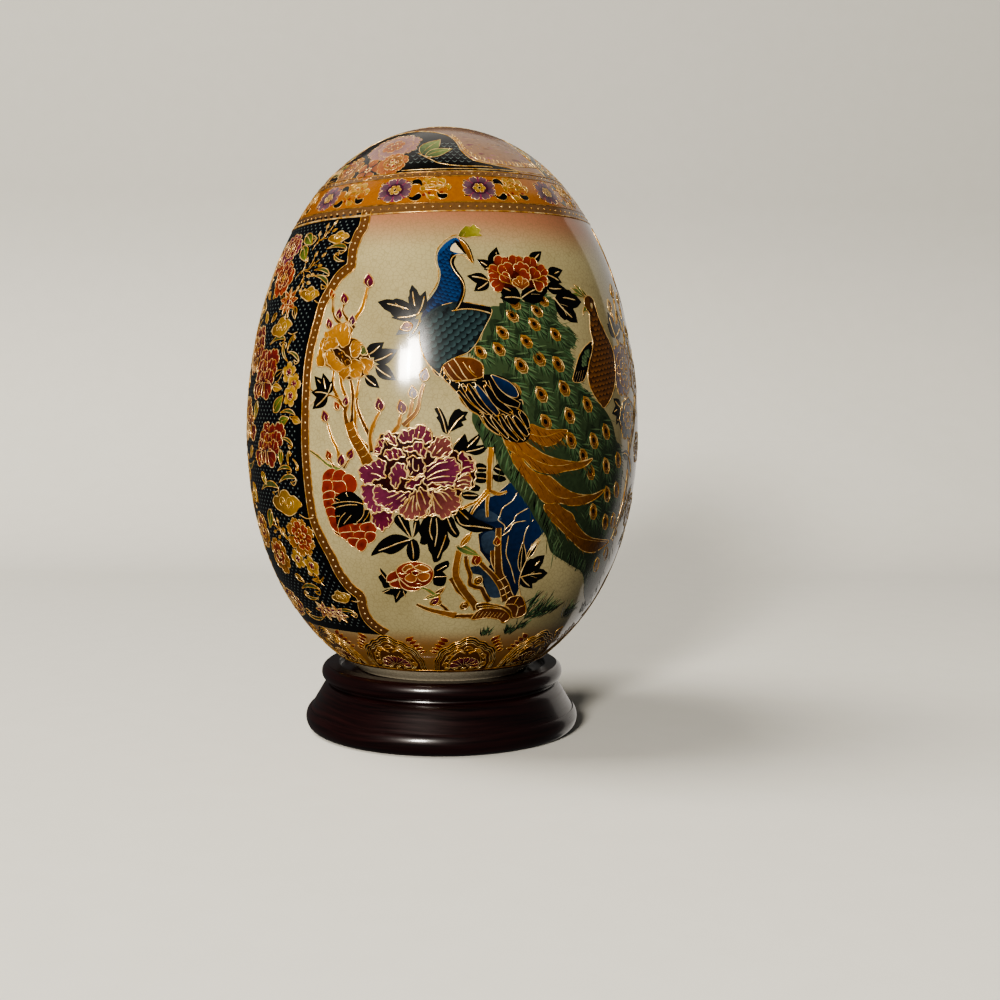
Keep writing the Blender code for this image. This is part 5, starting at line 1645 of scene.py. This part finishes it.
def side_motifs(art, mirror, step):
    """One half of a panel's clouds and flowers; the half towards the back is turned over and stepped up."""

    def set_at(x, y):
        y += step
        return np.array((x * mirror, y if y < PANEL_HIGH - 3 else y - (PANEL_HIGH - PANEL_LOW - 6)))

    def turned(angle):
        return angle if mirror > 0 else 180 - angle

    for x, y, size, turn in ((9, 57, 5, 175), (11, 54.4, 4, 0), (24.6, 51, 4.0, -8), (26.6, 48.2, 2.6, 150),
            (22.4, 44.2, 3.6, -20), (23, 41.8, 4.0, -30), (10, 25.4, 4.6, 4), (15, 22.4, 3.4, 120),
            (19, 21, 3.4, -30), (17, 25, 2.6, 60), (19, 5.6, 3.6, -10), (18.6, -2, 3.2, -24),
            (19.4, -6.4, 2.4, 80), (17, -9.6, 3.6, 0), (18, -12.4, 4.4, 5), (22, -8, 2, -60),
            (15, -44, 4.8, 0), (13.4, -46.4, 3.4, 170), (25, -50.6, 3.6, -6), (8, -15.2, 6, 0),
            (21, -40.4, 2.4, 200), (12.6, -28, 2.8, 130)):
        scroll(art, set_at(x, y), size * mirror, turn * mirror)
    for x, y, size, turn in ((17, 54.6, 4, 55), (15.6, 45.6, 5, 30), (15.4, 42.6, 3, 300),
            (9.6, -27, 3.4, 150), (20.6, -40, 2.6, 120)):
        twig(art, set_at(x, y), size, turned(turn))
    for start, end, width, pigment in (
        ((8, 56.6), (13.4, 53), 0.6, "moss"), ((9, 53), (13.6, 48), 0.6, "moss"),
        ((6, 33.6), (3.4, 31), 0.6, "black"), ((15, 35), (16.6, 31.4), 0.6, "black"),
        ((12, 33.6), (12.4, 30.8), 0.6, "black"), ((10.6, 14.6), (15.4, 17.6), 0.6, "black"),
        ((10.4, 13), (15.6, 12.4), 0.5, "straw"), ((12, 6), (16.4, 10.6), 0.66, "moss"),
        ((14.6, 3), (19.6, 4.6), 0.6, "moss"), ((15, 1), (18.4, 0.4), 0.7, "moss"),
        ((15.6, -4), (15.4, -8.4), 0.66, "moss"), ((6.6, -21), (3.2, -26.8), 0.6, "moss"),
        ((3.6, -10.6), (6.4, -14.2), 0.6, "moss"), ((21, 4.4), (24.4, 3.4), 0.7, "straw"),
        ((9, 37), (5, 40.4), 0.6, "black"), ((1, 9), (-1.4, 3.6), 0.6, "moss"),
        ((0, 31), (-2.6, 34.6), 0.6, "moss"), ((10, -40), (13.6, -42), 0.6, "black"),
    ):
        leaf(art, set_at(*start), set_at(*start) + np.subtract(end, start) * (mirror, 1), width, pigment, 0.5)
    for x, y, length, turn in ((23.4, 54.2, 7.4, -4), (20.2, 38, 8, -10), (10.6, 29, 11, 4),
            (16, -19.2, 14, -4), (26.2, -45.6, 7.4, 8)):
        cloud(art, set_at(x, y), length * mirror, turn * mirror)
    bloom(art, set_at(1.6, 53), 6.4, [(7, 1, 34, 3, 2), (6, 0.66, 34, 2, 1), (4, 0.4, 40, 2, 0)],
        ["wine", "deep red"], 0.8, "straw", 0.0, 0.4)
    bloom(art, set_at(4, 44), 6.2, [(6, 1, 38, 2, 2), (5, 0.7, 38, 2, 1), (4, 0.4, 40, 1, 0)],
        ["iron red", "deep red"], 0.9, "straw", 0.0, 0.4)
    spiky(art, set_at(11, 36.6), 4.6, "iron red", "manganese maroon", 9, 10)
    red_peony(art, set_at(4.8, 17), 9, 14, -0.8 * mirror)
    red_peony(art, set_at(9.4, -2.4), 9.4, 12, -1.6 * mirror)
    for x, y, turn in ((18, 16.8, 20), (20.6, 13.6, 70), (19.6, 10.4, 0), (14.8, -34.8, 30), (20, -36.4, 10)):
        orchid(art, set_at(x, y), 2.9, turn)
    bloom(art, set_at(19.4, -28), 5.8, [(8, 1, 26, 3, 2), (7, 0.7, 28, 2, 1), (5, 0.4, 36, 1, 0)],
        ["amber", "iron red", "vermilion"], 1.05, "iron red", 20, 0.42)
    bloom(art, set_at(4.6, -34.4), 5.6, [(6, 1, 38, 2, 1), (5, 0.66, 38, 2, 1)], ["amber", "iron red"], 1.0,
        "straw", 35, 0.42)
    spiky(art, set_at(16, -51), 3.8, "wine", "manganese maroon", 7, 30)
    spiky(art, set_at(21, -51.4), 3.6, "wine", "manganese maroon", 7, 0)


side_motifs(side_art, -1, 7.0)
side_motifs(side_art, 1, 0.0)
side_art.trail(level_line(np.linspace(-29, 29, 80), PANEL_HIGH + 0.6), 0.7)
again_behind(side_art.make(), "left_panel", "right_panel")


# ---------------------------------------------------------------------------------------------
# The shoulder band: orange enamel between two brown borders, with eleven purple flowers and gold
# scrolls between them. The wheel was a little out of true, so the band is lower on one side.
# ---------------------------------------------------------------------------------------------

BAND_RADIUS = 40.0  # the egg's, along the band's middle
BAND_MIDDLE, BAND_WOBBLE = 70.0, 1.9
BAND_REPEATS, BAND_START = 11, 13.4  # degrees
BAND_LENGTH = 2 * math.pi * BAND_RADIUS
BAND_DOT_PITCH = 2.18


def band_chart(x, y):
    """x along the band from its first flower, and y up from its middle."""
    lean = x / BAND_RADIUS
    return math.radians(BAND_START) + lean, BAND_MIDDLE + BAND_WOBBLE * np.sin(lean) + y


band = Painting("shoulder_band", band_chart, GOLDEN)
ring = np.linspace(-BAND_LENGTH / 2, BAND_LENGTH / 2, 240)


def comma(art, at, size, turn, pigment, gold=0.42):
    """A plump curled leaf, round at its head and thin at its tail."""
    bent = [(-0.5, 0.1), (-0.2, 0.42), (0.2, 0.4), (0.5, 0.1), (0.62, -0.3), (0.3, -0.1), (0, -0.2),
        (-0.36, -0.3)]
    art.shape(smooth(at + size * spun(bent, turn), True, 0.5), pigment, None, gold)


hoop(band, ring, -8.0, -4.6, "border brown")
hoop(band, ring, -4.6, 4.2, "orange ground")
hoop(band, ring, 4.2, 6.4, "border brown")
for level, width, tone in ((-7.8, 0.7, GOLDEN), (-4.9, 0.45, DULL), (4.4, 0.45, DULL), (6.3, 0.6, DULL)):
    band.tone = tone
    band.trail(level_line(ring, level), width)
for level, width, tone in ((-6.3, 0.5, GOLDEN), (5.4, 0.42, GOLDEN)):
    band.tone = tone
    band.bead(level_line(np.arange(-BAND_LENGTH / 2, BAND_LENGTH / 2 - 1, BAND_DOT_PITCH), level), width)
for number in range(BAND_REPEATS):
    x = (number - BAND_REPEATS // 2) * BAND_LENGTH / BAND_REPEATS
    # A spray of gold fronds between two flowers, over black leaves and red seeds.
    band.tone = GOLDEN
    for across, up, size, turn, pigment in (
        (6.0, 2.2, 3.2, -20, "black"), (6.2, -2.8, 3.2, 200, "black"), (13.4, -2.5, 2.9, 160, "black"),
        (8.7, 2.7, 2.6, -60, "straw"), (10.9, 2.9, 2.6, -30, "straw"), (8.3, 0.2, 2.3, 60, "straw"),
        (13.2, 2.5, 2.4, -50, "straw"), (12.4, 0.3, 2.3, 20, "straw"), (10.3, -2.9, 2.4, 150, "straw"),
        (14.9, 0.4, 2.0, -70, "straw"), (10.4, 0.7, 1.9, -10, "straw"),
    ):
        band.tone = GOLDEN
        comma(band, (x + across * 0.96, up), size, turn, pigment, 0.42)
    band.tone = GOLDEN
    for k in range(7):
        way = heading(-64 + 26 * k)
        root = (x + 7.6, -0.3) + way * 0.8
        band.curve([root, root + way * 1.9 + (0, 0.3), root + way * (3.4 + 1.2 * way[0]) + (0.3, -0.3)], 0.45)
    for across, up in ((9.4, -1.6), (12.6, -1.5), (8.0, -2.2)):
        band.fill((x + across, up) + arc_points(0.5, 6), "iron red")
    for turn in (35, 145, 215, 325):
        band.shape((x, 0) + heading(turn) * (4.6, 4.0) + arc_points(0.75, 6), "plum", (x, 0, 99), 0.3)
    band.tone = DULL
    band.fill((x, 0) + arc_points(4.5, 16) * (1, 0.92), "wine", (x, 0, 0.1))
    for k in range(8):
        way = heading(22 + 45 * k) * (1, 0.9)
        petal(band, (x, 0) + way * 0.6, (x, 0) + way * 4.9, 24, 2, "plum mist", 0.34, 0)
    band.fill((x, 0) + arc_points(2.5, 12) * (1, 0.92), "plum", (x, 0, 6.5))
    band.tone = ROSY
    for k in range(6):
        band.shape((x, 0) + heading(60 * k) * (1.15, 1.05) + arc_points(0.66, 6), "straw", None, 0.36)
    band.shape((x, 0) + arc_points(0.5, 6), "black", None, 0.3)
band.make()


# ---------------------------------------------------------------------------------------------
# The crown above the band, in three repeats: a black ground with a pink peony, orange roses and
# green leaves, then a mottled peach field fringed with gold lace.
# ---------------------------------------------------------------------------------------------

def crown_chart(x, y):
    """The crown seen from above: x to the right, y away from the front, from the egg's tip."""
    reach = np.hypot(x, y)
    lean = np.arctan2(x, -y)
    return lean, TOP_V - reach


crown = Painting("crown_painting", crown_chart)


def crown_place(turn, level):
    """A place on the crown's chart, from degrees round the egg and v up the outline, over the band's sway."""
    lean = math.radians(turn)
    sway = BAND_WOBBLE * math.sin(lean - math.radians(BAND_START)) * (TOP_V - level) / (TOP_V - CROWN_RIM)
    return np.array([math.sin(lean), -math.cos(lean)]) * (TOP_V - level - sway)


CROWN_RIM = 75.9
CROWN_REPEATS = 3
rng = random.Random(21)
rim = [crown_place(turn, CROWN_RIM) for turn in range(0, 360, 2)]
crown.fill(rim, "peach", (0, 0, 44))
for number in range(CROWN_REPEATS):
    turn = 360.0 * number / CROWN_REPEATS
    # The peach field: pale and dark strokes that run round the egg, among short gold dashes.
    for k in range(150):
        turned, level = turn + rng.uniform(8, 64), 80 + 32 * rng.random() ** 1.2
        start, end = crown_place(turned, level), crown_place(turned + rng.uniform(2, 6),
            level + rng.uniform(-0.6, 0.6))
        pigment, pale = (("peach", 1), ("rose", 9), ("peach", 999), ("rose", 99))[k % 4]
        crown.fill(turned_to(BLADE, start, end, 0.34), pigment, (0, 0, pale * 9))
    for k in range(80):
        crown.tone = (DULL, GOLDEN, ROSY)[k % 3]
        turned, level = turn + rng.uniform(12, 64), 81.5 + 26 * rng.random() ** 1.3
        crown.trail([crown_place(turned, level), crown_place(turned + 1.4, level + rng.uniform(-0.5, 0.5))],
            0.34)
    patch = [(6 * k - 66, 76.4) for k in range(17)] + [(36, 77.2), (24, 79.2), (14, 81), (9, 85), (7, 90),
        (2, 95), (-14, 99), (-40, 100), (-60, 97), (-68, 88), (-67, 80)]
    crown.tone = ROSY
    crown.shape(smooth([crown_place(turn + a, v) for a, v in patch], True, 1.0), "black", None, 0.5)
    for k in range(70):
        spot = crown_place(turn - 16 + 3.4 * (k % 10) + 1.7 * (k // 10 % 2), 80.6 + 1.5 * (k // 10))
        if inside(np.array([spot]), smooth([crown_place(turn + a, v - 1) for a, v in patch], True, 1.0))[0]:
            crown.fill(smooth([spot + (-0.8, 0.4), spot + (0, -0.6), spot + (0.8, 0.4), spot + (0, -0.2)],
                True, 0.4), "dot grey")
    crown.tone = ROSY
    lace = smooth([
        crown_place(turn + a, v)
        for a, v in ((4, 95), (8.6, 90), (10.6, 85.4), (16, 81.6), (25, 79.8), (40, 79.6), (62, 79.8))
    ])
    crown.trail(lace, 0.5)
    for spot in every(lace, 1.5):
        out = spot / np.hypot(*spot)
        crown.trail(smooth([spot, spot - out * 1.1 + (0.4, 0.2), spot - out * 1.9], False, 0.5), 0.5)
    crown.curve([
        crown_place(turn + a, v) for a, v in ((-14, 84.6), (-8, 82), (-2, 79.6), (8, 78.4), (22, 78.2))
    ], 0.5)
    crown.trail([crown_place(turn + a, 77.3) for a in range(-64, 64, 3)], 0.5)
    for start, end, width in (((-12, 84), (-3, 92), 0.7), ((-10, 83), (4, 86.4), 0.5),
            ((-64, 79), (-54, 84), 0.6), ((-62, 92), (-66, 84), 0.6)):
        leaf(crown, crown_place(turn + start[0], start[1]), crown_place(turn + end[0], end[1]), width,
            "leaf green", 0.36)
    bloom(crown, crown_place(turn - 31, 89.5), 8.4,
        [(9, 1, 30, 3, 2), (8, 0.72, 30, 3, 1), (6, 0.44, 34, 2, 0)], ["dusty rose", "dusty rose", "coral"],
        1.0, "coral", 10 * number, 0.26)
    bloom(crown, crown_place(turn - 51, 80.6), 5.6, [(6, 1, 36, 2, 1), (5, 0.6, 36, 1, 0)],
        ["amber", "coral"], 1.0, "iron red", 20, 0.4)
    bloom(crown, crown_place(turn - 37, 79.0), 4.6, [(5, 1, 38, 2, 1)], ["coral"], 1.0, "iron red", 50, 0.36)
    bloom(crown, crown_place(turn - 25, 80.8), 5.2,
        [(7, 1, 34, 2, 1), (6, 0.66, 34, 2, 1), (4, 0.4, 38, 1, 0)], ["coral", "amber", "iron red"], 1.0,
        "straw", 0, 0.36)
bloom(crown, (0, 0), 10.5, [(9, 1, 28, 3, 2), (8, 0.76, 28, 2, 1), (6, 0.46, 36, 2, 0)],
    ["coral", "iron red", "yellow"], 1.0, "amber", 8)
crown.make()


# ---------------------------------------------------------------------------------------------
# The foot band: eleven arched panels side by side, outlined in brown and gold over a warm
# ground, each with a small peony in a scrolled frame, and red flames between their shoulders.
# ---------------------------------------------------------------------------------------------

FOOT_REPEATS, FOOT_START = 11, 10.5  # degrees
FOOT_RADIUS = 37.2  # the egg's, across the arches
FOOT_STEP = 2 * math.pi * FOOT_RADIUS / FOOT_REPEATS
ARCH_BASE = -73.8  # v
GOLD_RING = -73.6  # v


def foot_chart(x, y):
    """x round the foot from the first arch's middle, and y as v."""
    return math.radians(FOOT_START) + x / FOOT_RADIUS, y


foot = Painting("foot_arches", foot_chart, GOLDEN)


def arch(x, grow):
    """An arch's outline, from its right foot over its crown to its left."""
    half = [(9.3, ARCH_BASE), (9.2, -69.4), (8.9, -67.6), (8.1, -65.6), (7.9, -64.2), (6.7, -62.4),
        (5.4, -61.8), (4.2, -60.2), (2.6, -59.6), (1.4, -58.3), (0, -57.8)]
    points = half + [(-a, b) for a, b in half[-2::-1]]
    return np.array([(x + a * grow, ARCH_BASE + (b - ARCH_BASE) * grow) for a, b in points])


for number in range(FOOT_REPEATS):
    x = (number - FOOT_REPEATS // 2) * FOOT_STEP
    foot.tone = GOLDEN
    for side in (1, -1):
        for k in range(5):
            root = np.array((x + side * (8.2 - 0.7 * k), -64.6 + 1.15 * k))
            leaf(foot, root, root + (side * 2.0, 1.0 + 0.3 * k), 0.62, "iron red", 0.3, False)
    foot.shape(smooth(arch(x, 1.0)), "black", (x, -90, x, -58), 0.36)
    foot.shape(smooth(arch(x, 0.945)), "umber", (x, -58, x, -90), 0.5)
    foot.shape(smooth(arch(x, 0.885)), "black", (x, -90, x, -56), 0.3)
    foot.shape(smooth(arch(x, 0.84)), "umber", (x, -90, x, -52), 0.42)
    for k in range(7):
        turn = 12 + 26 * k
        comma(foot, (x, -72.4) + heading(turn) * (6.0, 9.6), 2.2, turn - 90, "amber" if k % 2 else "yellow",
            0.36)
    for reach in (6.6, 4.9):
        for side in (1, -1):
            foot.curve([(x + side * 0.4, -66.6 + 0.3 * reach),
                (x + side * reach * 0.5, -65.8 + 0.34 * reach), (x + side * reach * 0.9, -67.6),
                (x + side * reach, -70.8), (x + side * (reach - 1.4), -72.6)], 0.4)
    for k in range(7):
        way = heading(6 + 28 * k) * (4.9, 4.6)
        petal(foot, (x, -71.2) + way * 0.15, (x, -71.2) + way, 24, 2, "manganese maroon", 0.34, 1)
    for k in range(5):
        spot = np.array((x - 5.2 + 2.6 * k, -72.6))
        leaf(foot, spot - (0.9, 0), spot + (0.9, 0.5), 0.5, "sage", 0.3, False)
foot_ring = np.linspace(-FOOT_STEP * FOOT_REPEATS / 2, FOOT_STEP * FOOT_REPEATS / 2, 200)
hoop(foot, foot_ring, FOOT_LINE, GOLD_RING, "umber", (0, -60, 0, -90))
foot.tone = DULL
foot.trail(level_line(foot_ring, GOLD_RING), 0.45)
foot.make()


# ---------------------------------------------------------------------------------------------
# Floor, light and camera: a pale sweep, a window of two panes at the front left that shows in the
# glaze, a soft fill from above, and a view from a little above the egg's middle.
# ---------------------------------------------------------------------------------------------

paper, tree, shader = new_finish("pale backdrop paper", Roughness=0.9)
place = add(tree, "ShaderNodeTexCoord").outputs["Object"]
tone = ramp(tree, noise(tree, place, 90.0, 4.0), (0.0, "#e4e3da"), (1.0, "#e9e8e0"))
tree.links.new(tone, shader.inputs["Base Color"])
bend = [(0.35 + 0.25 * math.sin(a), 0.25 - 0.25 * math.cos(a)) for a in np.linspace(0.0, math.pi / 2, 13)]
for name, line in (("floor", [(-3.0, 0.0), *bend[:7]]), ("wall", [*bend[6:], (0.6, 2.5)])):
    mesh = bpy.data.meshes.new(name)
    corners = [(x, y, z) for x in (-3.0, 3.0) for y, z in line]
    n = len(line)
    mesh.from_pydata(corners, [], [(n + k, n + k + 1, k + 1, k) for k in range(n - 1)])
    mesh.shade_smooth()
    mesh.materials.append(paper)
    sheet = bpy.data.objects.new(name, mesh)
    bpy.context.scene.collection.objects.link(sheet)
    # Both are kept out of the glaze, as black cards do in a studio, and cast no colour on the piece.
    sheet.visible_glossy = sheet.visible_diffuse = False

AIM = Vector((0.0, 0.0, 0.09))
for name, way, distance, width, height, power, seen in (
    ("left_window_pane", (-0.352, -0.86, 0.282), 1.5, 0.15, 0.20, 11.0, True),
    ("right_window_pane", (-0.262, -0.86, 0.306), 1.5, 0.19, 0.25, 17.5, True),
    ("ceiling_fill", (-0.62, 0.05, 1.0), 2.6, 1.5, 1.5, 76.0, False),
    ("right_wall_glow", (0.574, 0.819, 0.05), 0.6, 0.53, 0.9, 0.9, True),
    ("rear_ceiling_glow", (0.0, 0.5, 0.87), 1.2, 1.8, 0.9, 3.7, True),
):
    lamp = bpy.data.lights.new(name, "AREA")
    lamp.shape = "RECTANGLE"
    lamp.size, lamp.size_y = width, height
    lamp.energy = power
    lamp.color = linear("#fff8ee")[:3]
    holder = bpy.data.objects.new(name, lamp)
    holder.location = AIM + Vector(way).normalized() * distance
    holder.rotation_euler = Vector(way).to_track_quat("Z", "Y").to_euler()
    holder.visible_glossy = seen
    # The two glows stand for the room's pale walls: they show in the glaze and light nothing.
    holder.visible_camera = holder.visible_diffuse = not name.endswith("glow")
    bpy.context.scene.collection.objects.link(holder)

world = bpy.data.worlds.new("room")
bpy.context.scene.world = world
world.use_nodes = True
world.node_tree.nodes["Background"].inputs["Color"].default_value = linear("#cfccc8")
world.node_tree.nodes["Background"].inputs["Strength"].default_value = 0.11

CAMERA_PLACE = (0.0, -0.39965, 0.09692)
CAMERA_DOWN, CAMERA_RIGHT, CAMERA_ROLL = 4.088, 2.450, 0.491  # degrees
camera = bpy.data.objects.new("camera", bpy.data.cameras.new("camera"))
camera.data.lens = 47.886
camera.data.clip_start = 0.01
camera.matrix_world = (
    Matrix.Translation(CAMERA_PLACE)
    @ Matrix.Rotation(math.radians(-CAMERA_RIGHT), 4, "Z")
    @ Matrix.Rotation(math.radians(90 - CAMERA_DOWN), 4, "X")
    @ Matrix.Rotation(math.radians(CAMERA_ROLL), 4, "Z")
)
bpy.context.scene.collection.objects.link(camera)
bpy.context.scene.camera = camera

bpy.context.scene.view_settings.look = "AgX - Medium High Contrast"
